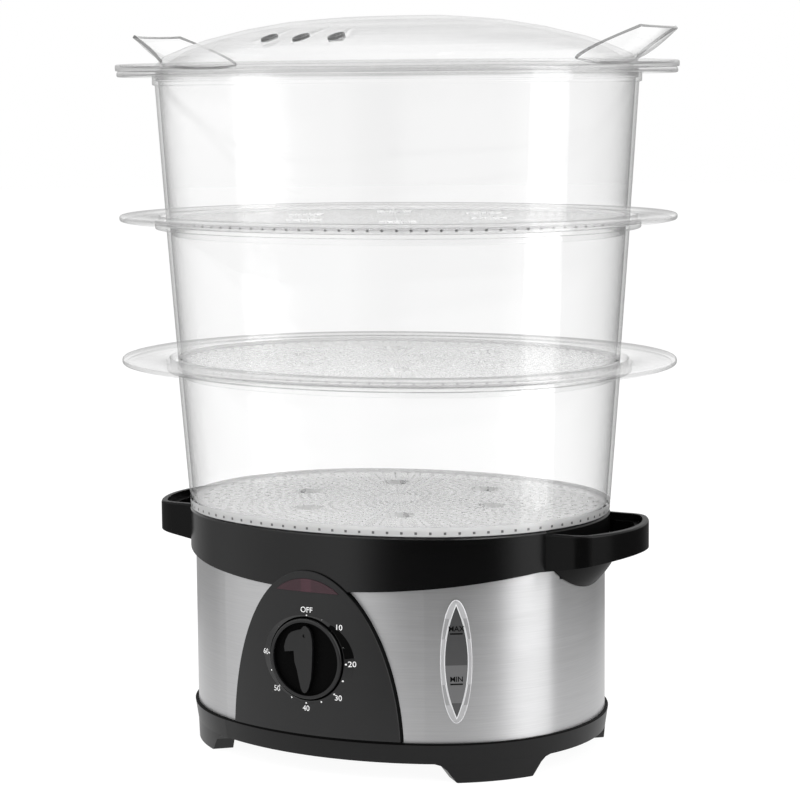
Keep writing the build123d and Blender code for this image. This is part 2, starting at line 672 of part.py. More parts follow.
def level_window():
    width, height = WINDOW_WIDTH, WINDOW_HEIGHT
    face_r = BAND_R + WINDOW_PROUD
    sunk_r = face_r - WINDOW_SINK
    near, far = TANK_R - WINDOW_REACH, face_r + WINDOW_REACH
    body = lens_prism(width, height, near, far) & tube(face_r, TANK_R + SEAL_T, 0, COLLAR_TOP_Z)
    core = lens_prism(width - 2 * WINDOW_RIM, height - 3 * WINDOW_RIM, near, far)
    body -= core & tube(far, sunk_r, 0, COLLAR_TOP_Z)
    return body - (core & prism(sunk_r - WINDOW_FACE_T, 0, COLLAR_TOP_Z))


# ---- heater ----
def flange_z():
    return TANK_LOW_Z + TANK_WALL + 1.0


def heater_plate():
    low = flange_z()
    top = low + HEATER_DOME_H + HEATER_T
    shell = rod(HEATER_DOME_R, low, top)
    shell = fillet(shell.edges().group_by(Axis.Z)[-1], 2.0)
    shell += rod(HEATER_FLANGE_R, low, low + HEATER_T)
    shell -= rod(HEATER_DOME_R - HEATER_T, low - 1, top - HEATER_T)
    for stud in on_circle(rod(STUD_R, TANK_LOW_Z - CLAMP_T - NUT_T - 1, low), STUD_CIRCLE_R, 3, 90):
        shell += stud
    return shell


def element_seal():
    ring = rod(HEATER_FLANGE_R, TANK_LOW_Z + TANK_WALL, flange_z())
    ring -= rod(HEATER_HOLE_R, TANK_LOW_Z, flange_z() + 1)
    for stud in on_circle(rod(STUD_R + SLIP, 0, 60), STUD_CIRCLE_R, 3, 90):
        ring -= stud
    return ring


def block_low_z():
    return flange_z() + HEATER_DOME_H - BLOCK_T


def heater_block():
    return rod(HEATER_DOME_R - HEATER_T - SLIP, block_low_z(), block_low_z() + BLOCK_T)


def heating_element():
    z = block_low_z() - ELEMENT_TUBE_R
    start = 90 - ELEMENT_SWEEP / 2
    path = CenterArc((0, 0, z), ELEMENT_R, start, ELEMENT_SWEEP)
    section = Plane(path @ 0, z_dir=path % 0) * Circle(ELEMENT_TUBE_R)
    ring = sweep(section, path=path)
    for place in (path @ 0, path @ 1):
        ring += rod(ELEMENT_PIN_R, z - ELEMENT_PIN_LENGTH, z, place.X, place.Y)
    return ring


def clamp_ring():
    ring = rod(HEATER_FLANGE_R, TANK_LOW_Z - CLAMP_T, TANK_LOW_Z)
    ring -= rod(CLAMP_INNER_R, TANK_LOW_Z - CLAMP_T - 1, TANK_LOW_Z + 1)
    for stud in on_circle(rod(STUD_R + SLIP, 0, 60), STUD_CIRCLE_R, 3, 90):
        ring -= stud
    return ring


def heater_nuts():
    low = TANK_LOW_Z - CLAMP_T - NUT_T
    nut = Pos(0, 0, low) * extrude(RegularPolygon(NUT_R, 6), amount=NUT_T)
    nut -= rod(STUD_R, low - 1, low + NUT_T + 1)
    return Compound(children=on_circle(nut, STUD_CIRCLE_R, 3, 90))


def thermostat():
    top = block_low_z()
    return rod(THERMOSTAT_R, top - THERMOSTAT_H, top) + rod(THERMOSTAT_R + 2, top - 3, top - 2)


def thermal_fuse():
    z = TANK_LOW_Z - CLAMP_T - FUSE_R
    body = Pos(0, STUD_CIRCLE_R * -1, z) * Rot(0, 90, 0) * Cylinder(FUSE_R, FUSE_LENGTH)
    return fillet(body.edges(), 0.6)


# ---- terminals, wires and gland ----
def terminal_block():
    x, y, z = TERMINAL_X, TERMINAL_Y, LEDGE_Z
    body = block(x - TERMINAL[0] / 2, x + TERMINAL[0] / 2, y - TERMINAL[1] / 2, y + TERMINAL[1] / 2,
                 z, z + TERMINAL[2])
    top = z + TERMINAL[2]
    for i in (-1, 0, 1):
        body -= rod(TERMINAL_WELL_R, top - TERMINAL_WELL_DEPTH, top + 1, x + i * TERMINAL[0] / 3, y)
    return body


def wire(*points):
    path = FilletPolyline(*points, radius=WIRE_BEND)
    section = Plane(path @ 0, z_dir=path % 0) * Circle(WIRE_R)
    return sweep(section, path=path)


def internal_wiring():
    """Insulated leads: terminals to the element, terminals to the timer, element to the timer."""
    pin_z = block_low_z() - ELEMENT_TUBE_R - ELEMENT_PIN_LENGTH
    start = radians(90 - ELEMENT_SWEEP / 2)
    pin_x, pin_y = ELEMENT_R * cos(start), ELEMENT_R * sin(start)
    block_x = TERMINAL_X - TERMINAL[0] / 3
    edge_y = TERMINAL_Y - TERMINAL[1] / 2
    lead_z = LEDGE_Z + WIRE_RISE
    timer_low = KNOB_Z - TIMER_SIZE / 2
    timer_y = timer_front_y() + TIMER_DEPTH - WIRE_TIMER_DEPTH
    leads = [
        wire((block_x, edge_y, lead_z), (block_x, WIRE_BACK_Y, lead_z), (-pin_x, pin_y, lead_z),
             (-pin_x, pin_y, pin_z)),
        wire((TERMINAL_X, edge_y, lead_z), (TERMINAL_X, edge_y - WIRE_STUB, lead_z),
             (-WIRE_SIDE_X, WIRE_BACK_Y, lead_z), (-WIRE_SIDE_X, -WIRE_SIDE_Y, lead_z),
             (-WIRE_TIMER_X, timer_y, lead_z), (-WIRE_TIMER_X, timer_y, timer_low)),
        wire((pin_x, pin_y, pin_z), (pin_x, pin_y, lead_z), (WIRE_TIMER_X, timer_y, lead_z),
             (WIRE_TIMER_X, timer_y, timer_low)),
    ]
    return Compound(children=leads)


def cord_gland():
    inner_r, outer_r = BAND_R - BAND_T, BAND_R
    gland = gland_bar(GLAND_R, inner_r - GLAND_FLANGE_T, outer_r + GLAND_FLANGE_T)
    flange = gland_bar(GLAND_FLANGE_R, inner_r - GLAND_FLANGE_T, outer_r + GLAND_FLANGE_T)
    flange -= tube(outer_r, inner_r, 0, COLLAR_TOP_Z)
    return gland + flange - gland_bar(GLAND_BORE_R, inner_r - 9, outer_r + 9)


# ---- steam ring and drip tray ----
def steam_ring():
    low = TANK_LOW_Z + TANK_WALL
    flange_low = low + STEAM_RING_FLANGE_RISE
    ring = rod(STEAM_RING_R, low, STEAM_RING_TOP_Z)
    ring += rod(STEAM_RING_FLANGE_R, flange_low, flange_low + STEAM_RING_FLANGE_T)
    ring -= rod(STEAM_RING_R - STEAM_RING_WALL, low - 1, STEAM_RING_TOP_Z + 1)
    notch = Box(4 * STEAM_RING_WALL, STEAM_NOTCH, STEAM_NOTCH)
    for cut in on_circle(Pos(0, 0, low + STEAM_NOTCH / 2) * notch, STEAM_RING_R, STEAM_NOTCH_COUNT):
        ring -= cut
    return ring


def tray_low_z():
    return COLLAR_SHOULDER_Z + RIM_T


def drip_tray():
    z = tray_low_z()
    bottom = z - TRAY_DEPTH
    tray = prism(TRAY_BOWL_R, bottom, z) + prism(TRAY_R, z, z + TRAY_WALL)
    tray -= prism(TRAY_BOWL_R - TRAY_WALL, bottom + TRAY_WALL, z + TRAY_WALL + 1)
    for x in (-CHIMNEY_X, CHIMNEY_X):
        tray += rod(CHIMNEY_R, bottom, bottom + CHIMNEY_H, x)
        tray -= rod(CHIMNEY_R - TRAY_WALL, bottom - 1, bottom + CHIMNEY_H + 1, x)
    return tray


# ---- baskets ----
def foot_z(tier):
    return COLLAR_TOP_Z + tier * TIER_PITCH


def flange_top_z(tier):
    return foot_z(tier) + TIER_PITCH + LEDGE_DROP


def foot_radius(tier):
    """Outer radius of a basket's foot, on the collar or on the basket below."""
    return (COLLAR_R if tier == 0 else BASKET_TOP_R[tier - 1]) - FOOT_INSET[tier]


def floor_slots(low, high, foot_r):
    height = high - low
    slot = Pos(0, 0, (low + high) / 2) * Box(SLOT_LENGTH, SLOT_WIDTH, height)
    tools = []
    for radius, count in zip(SLOT_RING_R, SLOT_RING_COUNT):
        tools += on_circle(slot, radius, count, 180 / count)
    edge_r = foot_r - EDGE_SLOT_INSET
    for i in range(EDGE_SLOT_COUNT):
        angle = radians(i * 360 / EDGE_SLOT_COUNT)
        x, y = (edge_r + END_CENTRE) * cos(angle), depth_y(edge_r) * sin(angle)
        tools.append(Pos(x, y, 0) * Rot(0, 0, degrees(angle)) * slot)
    return Compound(children=tools)


def egg_cup(floor_top):
    low = floor_top - EGG_CUP_DEPTH
    outer = Pos(0, 0, (low + floor_top) / 2) * Cone(EGG_CUP_LOW_R, EGG_CUP_R, EGG_CUP_DEPTH)
    hollow = Cone(EGG_CUP_LOW_R - EGG_CUP_WALL, EGG_CUP_R - EGG_CUP_WALL, EGG_CUP_DEPTH - FLOOR_T)
    return outer, Pos(0, 0, (low + FLOOR_T + floor_top) / 2) * hollow


def basket(tier):
    foot, top = foot_z(tier), flange_top_z(tier)
    foot_r, top_r = foot_radius(tier), BASKET_TOP_R[tier]
    ledge = top - LEDGE_DROP
    ring_r = top_r + RING_STEP[tier]
    opening_r = COLLAR_OPENING_R if tier == 0 else BASKET_TOP_R[tier - 1] - BASKET_WALL
    skirt_r = opening_r - SKIRT_CLEARANCE
    floor_top = foot + FLOOR_RISE

    body = prism(foot_r, foot, ledge, top_r)
    body += prism(ring_r, ledge - FLANGE_T, top)
    body += prism(FLANGE_R, top - FLANGE_T, top)
    body += tube(FLANGE_R, FLANGE_R - FLANGE_EDGE_W, top - FLANGE_EDGE_H, top)
    body -= prism(foot_r - BASKET_WALL, foot, ledge, top_r - BASKET_WALL)
    body -= prism(ring_r - BASKET_WALL, ledge, top + 1)
    body += prism(foot_r - BASKET_WALL / 2, floor_top - FLOOR_T, floor_top)
    body += tube(skirt_r, skirt_r - SKIRT_WALL, foot - SKIRT_DROP, floor_top - FLOOR_T / 2)
    cups, hollows = zip(*[egg_cup(floor_top)] * EGG_CUP_COUNT)
    for cup in on_circle(cups[0], EGG_CIRCLE_R, EGG_CUP_COUNT):
        body += cup
    for hollow in on_circle(hollows[0], EGG_CIRCLE_R, EGG_CUP_COUNT):
        body -= hollow
    body -= floor_slots(floor_top - FLOOR_T, floor_top, foot_r)
    return body


# ---- lid ----
def dome(shrink, low):
    """Domed block through the lid's oval sections, moved in by shrink."""
    sections = [oval(radius - shrink, low + height - shrink) for radius, height in LID_DOME]
    return loft(sections)


def wing(low):
    """Up-curled grip at the +X end of the lid."""
    root, tip = (WING_ROOT_X, low), (WING_TIP_X, low + WING_RISE)
    middle = (WING_ROOT_X + 0.52 * (WING_TIP_X - WING_ROOT_X), low + 0.36 * WING_RISE)
    curve = ThreePointArc((root[0], 0, root[1]), (middle[0], 0, middle[1]), (tip[0], 0, tip[1]))
    strip = Plane(curve @ 0, x_dir=(0, 1, 0), z_dir=curve % 0) * Rectangle(2 * WING_HALF_WIDTH, WING_T)
    plate = sweep(strip, path=curve)
    outline = rod(2 * WING_HALF_WIDTH, 0, low + CUT_REACH, WING_TIP_X - 2 * WING_HALF_WIDTH)
    return plate & outline & block(0, CUT_REACH, -CUT_REACH, CUT_REACH, low, low + CUT_REACH)


def lid():
    low = flange_top_z(len(BASKET_TOP_R) - 1)
    base_r = LID_DOME[0][0]
    body = prism(LID_FLANGE_R, low, low + LID_T) + dome(0, low)
    for grip in both_ends(wing(low)):
        body += grip
    body -= dome(LID_T, low)
    body -= prism(base_r - LID_T, low - 1, low + 0.1)
    lip_r = BASKET_TOP_R[-1] + RING_STEP[-1] - BASKET_WALL - SKIRT_CLEARANCE
    body += tube(lip_r, base_r - LID_T, low - LID_LIP_DROP, low + LID_T)
    vent = extrude(SlotOverall(VENT_LENGTH, VENT_WIDTH), amount=CUT_REACH)
    for i in (-1, 0, 1):
        body -= Pos(i * VENT_SPACING, VENT_Y, low + LID_T) * vent
    return body


def main():
    os.makedirs("parts", exist_ok=True)
    builders = [base_frame, foot_pads, bottom_cover, bottom_screws, steel_band, top_collar,
                control_panel, pilot_lens, neon_lamp, timer_body, timer_bell, timer_screws,
                timer_shaft, timer_knob, water_tank, level_window_seal, level_window,
                heater_plate, element_seal, heater_block, heating_element, clamp_ring,
                heater_nuts, thermostat, thermal_fuse, terminal_block, internal_wiring,
                cord_gland, steam_ring, drip_tray, lid]
    for build in builders:
        save(build(), build.__name__)
    for tier in range(len(BASKET_TOP_R)):
        save(basket(tier), f"basket_{tier + 1}")


main()
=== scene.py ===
import json
import math
import bmesh
import bpy
from mathutils import Matrix, Vector


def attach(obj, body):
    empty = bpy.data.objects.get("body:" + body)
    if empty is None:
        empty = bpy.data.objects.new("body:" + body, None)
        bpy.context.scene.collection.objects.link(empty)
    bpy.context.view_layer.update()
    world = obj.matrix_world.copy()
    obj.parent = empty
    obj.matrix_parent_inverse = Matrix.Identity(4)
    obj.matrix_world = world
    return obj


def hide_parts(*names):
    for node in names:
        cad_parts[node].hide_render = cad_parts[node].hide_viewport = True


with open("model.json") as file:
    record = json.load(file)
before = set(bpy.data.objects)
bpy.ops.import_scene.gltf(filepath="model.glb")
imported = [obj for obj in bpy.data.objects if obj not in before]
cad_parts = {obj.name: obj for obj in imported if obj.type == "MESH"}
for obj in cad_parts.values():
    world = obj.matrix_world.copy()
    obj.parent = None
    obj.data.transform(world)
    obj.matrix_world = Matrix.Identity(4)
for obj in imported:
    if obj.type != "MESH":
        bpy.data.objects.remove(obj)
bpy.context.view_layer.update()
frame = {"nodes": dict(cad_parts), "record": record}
nodes = frame["nodes"]
mm = 0.001
weld = 0.00001  # points nearer than this are joined
print("steamer: frame loaded,", len(nodes), "CAD parts")

camera = {"side": 29.0, "distance": 1.478, "height": 0.3806, "pitch": 6.92, "roll": -0.49,
          "lens": 114.03, "shift": 0.0031, "near": 0.05, "far": 40.0}
lamps = {  # place, size, power; only matt surfaces see them, because gloss sees the studio world
    "right": ((1.1, -0.5, 0.7), 0.8, 9.0),
    "left": ((-1.0, -1.0, 0.7), 0.8, 9.0),
    "overhead": ((0.0, -0.4, 1.9), 1.8, 24.0)}
lampAim = Vector((0, 0, 0.2))
studio = {"light": 0.60, "gain": 4.4,
          # degrees round from the right-hand side, brightness; level: walls seen straight on
          "level": ((-180, 0.40), (-160, 0.66), (-128, 0.68), (-102, 0.84), (-93, 0.30), (-86, 0.02),
                    (-24, 0.02), (-16, 0.25), (-7, 0.66), (18, 0.70), (21, 0.02), (72, 0.03), (90, 0.25),
                    (119, 0.40), (150, 0.40), (180, 0.40)),
          # the same above and below, where only brushed and sloping surfaces look
          "wide": ((-180, 0.45), (-166, 1.0), (-156, 1.35), (-104, 1.3), (-88, 1.2), (-80, 0.58),
                   (-67, 0.38), (-45, 0.40), (-32, 0.74), (-22, 1.20), (-12, 2.9), (0, 4.2), (19, 4.2),
                   (21, 1.35), (61, 1.4), (81, 1.5), (100, 1.1), (119, 1.1), (140, 1.0), (165, 0.50),
                   (180, 0.55)),
          "levelMiddle": -0.20, "levelEdge": 0.15, "levelFade": 0.36}
strip = {"turn": 5.5, "away": 3.0, "width": 1.33, "low": -1.35, "high": 0.85, "power": 19.0}
tablePaint = {"radius": 0.40, "glow": 0.80}  # pale table top round the feet, seen by gloss
floorPaint = {"radius": 9.0, "sides": 96, "glow": 0.94, "shadowed": 0.13, "bounce": 0.75}


def heading(angle):
    return Vector((math.cos(angle), math.sin(angle), 0))


def moved(x, y, z=0):
    return Matrix.Translation((x, y, z))


def newObject(name, data):
    made = bpy.data.objects.new(name, data)
    bpy.context.scene.collection.objects.link(made)
    return made


def makeCamera():
    side, pitch = math.radians(camera["side"]), math.radians(camera["pitch"])
    data = bpy.data.cameras.new("camera")
    data.lens = camera["lens"]
    data.shift_x = camera["shift"]
    data.clip_start = camera["near"]
    data.clip_end = camera["far"]
    shot = newObject("camera", data)
    flat = math.cos(pitch)
    look = Vector((-math.sin(side) * flat, math.cos(side) * flat, -math.sin(pitch)))
    turn = look.to_track_quat("-Z", "Y").to_matrix().to_4x4()
    turn = turn @ Matrix.Rotation(math.radians(camera["roll"]), 4, "Z")
    place = (camera["distance"] * math.sin(side), -camera["distance"] * math.cos(side), camera["height"])
    shot.matrix_world = Matrix.Translation(place) @ turn
    bpy.context.scene.camera = shot


def makeLamp(name, place, size, power, target=lampAim):
    data = bpy.data.lights.new(name, "AREA")
    data.size = size
    data.energy = power
    lamp = newObject(name, data)
    lamp.visible_camera = lamp.visible_glossy = False
    aim = target - Vector(place)
    lamp.matrix_world = Matrix.Translation(place) @ aim.to_track_quat("-Z", "Y").to_matrix().to_4x4()
    return lamp


def makeStrip():  # tall window light that only the clear pieces mirror
    turn = math.radians(strip["turn"])
    middle = (strip["low"] + strip["high"]) / 2
    aim = Vector((0, 0, middle))
    lamp = makeLamp("strip", aim + heading(turn) * strip["away"], strip["width"], strip["power"], aim)
    lamp.data.shape = "RECTANGLE"
    lamp.data.size_y = strip["high"] - strip["low"]
    lamp.visible_glossy = True
    seenBy = bpy.data.collections.new("clearPieces")
    lamp.light_linking.receiver_collection = seenBy
    return seenBy


def grey(value):
    return (value, value, value, 1)


def feed(tree, value, socket):  # links another node's output, or sets a plain value
    if isinstance(value, bpy.types.NodeSocket):
        tree.links.new(value, socket)
    else:
        socket.default_value = value


def fill(tree, node, inputs):
    for label, value in inputs.items():
        feed(tree, value, node.inputs[label])


def addNode(tree, kind, inputs):
    node = tree.nodes.new("ShaderNode" + kind)
    fill(tree, node, inputs)
    return node


def emptyTree(owner):
    owner.use_nodes = True
    owner.node_tree.nodes.clear()
    return owner.node_tree


def splitVector(tree, vector):  # its X, Y and Z
    return addNode(tree, "SeparateXYZ", {"Vector": vector}).outputs


def roundRamp(tree, turn, stops):  # brightness round the horizon
    node = tree.nodes.new("ShaderNodeValToRGB")
    elements = node.color_ramp.elements
    for i, (degrees, value) in enumerate(stops):
        where = (degrees + 180) / 360
        if 0 < i < len(stops) - 1:
            element = elements.new(where)
        else:
            element = elements[0 if i == 0 else -1]
        element.position = where
        element.color = grey(value / studio["gain"])
    tree.links.new(turn, node.inputs[0])
    return node.outputs[0]


def background(tree, colour, strength=1.0):
    return addNode(tree, "Background", {"Color": colour, "Strength": strength}).outputs[0]


def mixShaders(tree, share, first, second):
    node = tree.nodes.new("ShaderNodeMixShader")
    for value, socket in zip((share, first, second), node.inputs):
        feed(tree, value, socket)
    return node.outputs[0]


def seenRays(tree):  # rays from the camera or through clear walls, and rays from gloss
    rays = tree.nodes.new("ShaderNodeLightPath").outputs
    seen = mathNode(tree, "MAXIMUM", rays["Is Camera Ray"], rays["Is Transmission Ray"])
    return seen, rays["Is Glossy Ray"]


def makeStudio():  # white for the camera, plain light for matt surfaces, dark and bright cards for gloss
    world = bpy.data.worlds.new("studio")
    bpy.context.scene.world = world
    tree = emptyTree(world)
    out, coords = tree.nodes.new("ShaderNodeOutputWorld"), tree.nodes.new("ShaderNodeTexCoord")
    calc = calculator(tree)
    across, deep, up = splitVector(tree, coords.outputs["Generated"])
    turn = calc("MULTIPLY_ADD", calc("ARCTAN2", deep, across), 0.5 / math.pi, 0.5)
    off = calc("ABSOLUTE", calc("SUBTRACT", up, studio["levelMiddle"]))
    fade = tree.nodes.new("ShaderNodeMapRange")
    fade.interpolation_type = "SMOOTHSTEP"
    fill(tree, fade, {"Value": off, "From Min": studio["levelEdge"], "From Max": studio["levelFade"]})
    walls, slopes = [background(tree, roundRamp(tree, turn, studio[key]), studio["gain"])
                     for key in ("level", "wide")]
    seen, glossy = seenRays(tree)
    shade = mixShaders(tree, glossy, background(tree, grey(studio["light"])),
                       mixShaders(tree, fade.outputs[0], walls, slopes))
    fill(tree, out, {"Surface": mixShaders(tree, seen, shade, background(tree, grey(1.0)))})


def stageDisc(name, paintName, radius):
    bm = bmesh.new()
    bmesh.ops.create_circle(bm, cap_ends=True, segments=floorPaint["sides"], radius=radius)
    material = bpy.data.materials.new(paintName)
    tree = emptyTree(material)
    return meshObject(name, bm, [material]), tree, tree.nodes.new("ShaderNodeOutputMaterial")


def makeFloor():  # white, with a faint shadow; gloss looks through it to the studio and the table top
    floor, tree, out = stageDisc("floor", "paleFloor", floorPaint["radius"])
    floor.visible_glossy = False
    shadowed, bounce = [addNode(tree, "BsdfDiffuse", {"Color": grey(floorPaint[key])}).outputs[0]
                        for key in ("shadowed", "bounce")]
    glow = addNode(tree, "Emission", {"Strength": floorPaint["glow"]})
    both = tree.nodes.new("ShaderNodeAddShader")
    tree.links.new(shadowed, both.inputs[0])
    tree.links.new(glow.outputs[0], both.inputs[1])
    fill(tree, out, {"Surface": mixShaders(tree, seenRays(tree)[0], bounce, both.outputs[0])})
    table, tree, out = stageDisc("tableTop", "tablePaint", tablePaint["radius"])
    table.visible_camera = table.visible_diffuse = table.visible_transmission = table.visible_shadow = False
    glow = addNode(tree, "Emission", {"Strength": tablePaint["glow"]})
    fill(tree, out, {"Surface": glow.outputs[0]})


def meshObject(name, bm, materials=(), smooth=None):  # smooth: degrees up to which edges are rounded
    mesh = bpy.data.meshes.new(name)
    bm.normal_update()
    bm.to_mesh(mesh)
    bm.free()
    if smooth is not None:
        mesh.polygons.foreach_set("use_smooth", [True] * len(mesh.polygons))
        mesh.set_sharp_from_angle(angle=math.radians(smooth))
    for material in materials:
        mesh.materials.append(material)
    return newObject(name, mesh)


def turnOut(bm):  # faces outwards
    bmesh.ops.recalc_face_normals(bm, faces=bm.faces)


def closeShape(bm):  # joins the pieces of a closed wall
    bmesh.ops.remove_doubles(bm, verts=bm.verts, dist=2 * weld)
    turnOut(bm)


def finalMesh(made):
    graph = bpy.context.evaluated_depsgraph_get()
    graph.update()
    return bpy.data.meshes.new_from_object(made.evaluated_get(graph))


def bakeModifiers(made):
    mesh = finalMesh(made)
    made.modifiers.clear()
    made.data = mesh


ovalShape = {"endCentre": 27.5 * mm, "sideCentre": 65.5 * mm, "endSteps": 40, "sideSteps": 16}
ovalLink = math.hypot(ovalShape["endCentre"], ovalShape["sideCentre"])
joinAngle = math.atan2(ovalShape["sideCentre"], ovalShape["endCentre"])
ovalArcs = []  # centre, direction of the middle, half angle, radius beyond the end's, steps
for sign, ahead in ((1, 0.0), (-1, math.pi)):
    ovalArcs.append((Vector((sign * ovalShape["endCentre"], 0, 0)), ahead, joinAngle, 0.0,
                     ovalShape["endSteps"]))
    ovalArcs.append((Vector((0, -sign * ovalShape["sideCentre"], 0)), ahead + math.pi / 2,
                     math.pi / 2 - joinAngle, ovalLink, ovalShape["sideSteps"]))
cornerSteps = 3


def roundCorners(corners):  # corners are (x, z, rounding in mm); sharp where the rounding is 0
    points = []
    for i, (x, z, rounding) in enumerate(corners):
        here = Vector((x, z))
        if rounding == 0 or i in (0, len(corners) - 1):
            points.append(here)
            continue
        before, after = [(Vector(corners[k][:2]) - here).normalized() for k in (i - 1, i + 1)]
        half = before.angle(after) / 2
        reach = rounding * mm / math.tan(half)
        middle = here + (before + after).normalized() * (rounding * mm / math.sin(half))
        start, end = here + before * reach - middle, here + after * reach - middle
        sweep = start.angle_signed(end)
        for k in range(cornerSteps + 1):
            points.append(middle + Matrix.Rotation(-sweep * k / cornerSteps, 2) @ start)
    return points


def wire(bm, points, place):  # joins points by edges; place turns (x, z) into a point in space
    made = [bm.verts.new(place(x, z)) for x, z in points]
    return made + [bm.edges.new(pair) for pair in zip(made, made[1:])]


def sweepOval(bm, points):  # spins (radius, z) points round the four arcs of the oval
    end, along = ovalArcs[0][0], heading(-joinAngle)
    geometry = wire(bm, points, lambda radius, z: end + along * radius + Vector((0, 0, z)))
    for centre, _, half, _, steps in ovalArcs:
        done = bmesh.ops.spin(bm, geom=geometry, cent=centre, axis=(0, 0, 1), angle=2 * half, steps=steps)
        geometry = done["geom_last"]
    bmesh.ops.remove_doubles(bm, verts=bm.verts, dist=weld)


def frontY(x, radius):  # face of the oval at x, on the timer's side
    return ovalShape["sideCentre"] - math.sqrt((radius + ovalLink) ** 2 - x * x)


def newGroup(name, inputs, outputs):  # numbers with their usual values; Vector and Normal are vectors
    group = bpy.data.node_groups.new(name, "ShaderNodeTree")
    group.interface.new_socket("Vector", in_out="INPUT", socket_type="NodeSocketVector")
    for label, value in inputs.items():
        socket = group.interface.new_socket(label, in_out="INPUT", socket_type="NodeSocketFloat")
        socket.default_value = value
    for label in outputs:
        kind = "NodeSocketVector" if label == "Normal" else "NodeSocketFloat"
        group.interface.new_socket(label, in_out="OUTPUT", socket_type=kind)
    return group, group.nodes.new("NodeGroupInput").outputs, group.nodes.new("NodeGroupOutput")


def mathNode(tree, operation, *values):
    node = tree.nodes.new("ShaderNodeMath")
    node.operation = operation
    for value, socket in zip(values, node.inputs):
        feed(tree, value, socket)
    return node.outputs[0]


def calculator(tree):  # mathNode for one tree
    return lambda operation, *values: mathNode(tree, operation, *values)


def noiseNode(tree, vector, scale, detail):
    return addNode(tree, "TexNoise", {"Vector": vector, "Scale": scale, "Detail": detail}).outputs["Fac"]


def bumpNode(tree, height, distance):
    node = addNode(tree, "Bump", {"Strength": 1.0, "Distance": distance, "Height": height})
    return node.outputs["Normal"]


def shifted(tree, value, mask, spread):  # moved up and down by a mask round one half
    off = mathNode(tree, "MULTIPLY", mathNode(tree, "SUBTRACT", mask, 0.5), spread)
    return mathNode(tree, "ADD", value, off)


moulding = {"Scale": 2500.0, "Depth": 0.00002, "Roughness": 0.4, "Spread": 0.08}
mouldingNoise = {"grainDetail": 3.0, "marksScale": 26.0, "marksDetail": 4.0}
brushing = {"long": ((14, 14, 900), 1.6, 4.0, 0.55),  # stretch, scale, detail, share
            "fine": ((60, 60, 2600), 1.0, 3.0, 0.45),
            "roughness": 0.3, "depth": 0.000006, "spread": 0.15, "dark": 0.93, "light": 1.06,
            "stretch": 0.93, "turn": 0.25}


def makeMouldedGrain():  # fine spark-eroded grain and faint handling marks of moulded plastic
    group, entry, out = newGroup("mouldedGrain", moulding, ("Roughness", "Normal", "Marks"))
    grain = noiseNode(group, entry["Vector"], entry["Scale"], mouldingNoise["grainDetail"])
    marks = noiseNode(group, entry["Vector"], mouldingNoise["marksScale"], mouldingNoise["marksDetail"])
    fill(group, out, {"Roughness": shifted(group, entry["Roughness"], marks, entry["Spread"]),
                      "Normal": bumpNode(group, grain, entry["Depth"]), "Marks": marks})
    return group


def makeBrushedGrain():  # short level scratches that run round the band
    inputs = {"Roughness": brushing["roughness"], "Depth": brushing["depth"]}
    group, entry, out = newGroup("brushedGrain", inputs, ("Lines", "Roughness", "Normal"))
    layers = []
    for stretch, scale, detail, share in (brushing["long"], brushing["fine"]):
        mapping = addNode(group, "Mapping", {"Vector": entry["Vector"], "Scale": stretch})
        layers.append(mathNode(group, "MULTIPLY", noiseNode(group, mapping.outputs[0], scale, detail), share))
    lines = mathNode(group, "ADD", *layers)
    fill(group, out, {"Lines": lines, "Normal": bumpNode(group, lines, entry["Depth"]),
                      "Roughness": shifted(group, entry["Roughness"], lines, brushing["spread"])})
    return group


mouldedGrain = makeMouldedGrain()
brushedGrain = makeBrushedGrain()
maskRange = (0.3, 0.7)  # the part of a noise's range that its colours spread over


def blankMaterial(name):
    material = bpy.data.materials.new(name)
    material.use_nodes = True
    tree = material.node_tree
    coords = tree.nodes.new("ShaderNodeTexCoord")
    return material, tree, tree.nodes["Principled BSDF"], coords.outputs["Object"]


def placeGroup(tree, group, shader, inputs):  # gives the shader its roughness and normal
    node = tree.nodes.new("ShaderNodeGroup")
    node.node_tree = group
    fill(tree, node, inputs)
    fill(tree, shader, {label: node.outputs[label] for label in ("Roughness", "Normal")})
    return node.outputs


def ramp(tree, factor, low, high, start=0.0, end=1.0):
    node = tree.nodes.new("ShaderNodeValToRGB")
    for element, place, colour in zip(node.color_ramp.elements, (start, end), (low, high)):
        element.position = place
        element.color = (*colour[:3], 1)
    tree.links.new(factor, node.inputs[0])
    return node.outputs[0]


def varyColour(tree, shader, mask, colour, dark, light):  # a little darker and lighter by a mask
    low, high = [c * dark for c in colour], [min(1, c * light) for c in colour]
    tree.links.new(ramp(tree, mask, low, high, *maskRange), shader.inputs["Base Color"])


def mouldedPlastic(name, colour, roughness, scale=moulding["Scale"], depth=moulding["Depth"],
                   spread=moulding["Spread"], vary=0.06, specular=0.5):
    material, tree, shader, vector = blankMaterial(name)
    grain = placeGroup(tree, mouldedGrain, shader, {"Vector": vector, "Scale": scale, "Depth": depth,
                                                    "Roughness": roughness, "Spread": spread})
    varyColour(tree, shader, grain["Marks"], colour, 1 - vary, 1 + vary)
    shader.inputs["Specular IOR Level"].default_value = specular
    return material


def brushedSteel(name, colour, roughness):
    material, tree, shader, vector = blankMaterial(name)
    grain = placeGroup(tree, brushedGrain, shader, {"Vector": vector, "Roughness": roughness,
                                                    "Depth": brushing["depth"]})
    varyColour(tree, shader, grain["Lines"], colour, brushing["dark"], brushing["light"])
    tangent = tree.nodes.new("ShaderNodeTangent")
    tangent.direction_type = "RADIAL"
    tangent.axis = "Z"
    fill(tree, shader, {"Metallic": 1.0, "Anisotropic": brushing["stretch"],
                        "Anisotropic Rotation": brushing["turn"], "Tangent": tangent.outputs[0]})
    return material


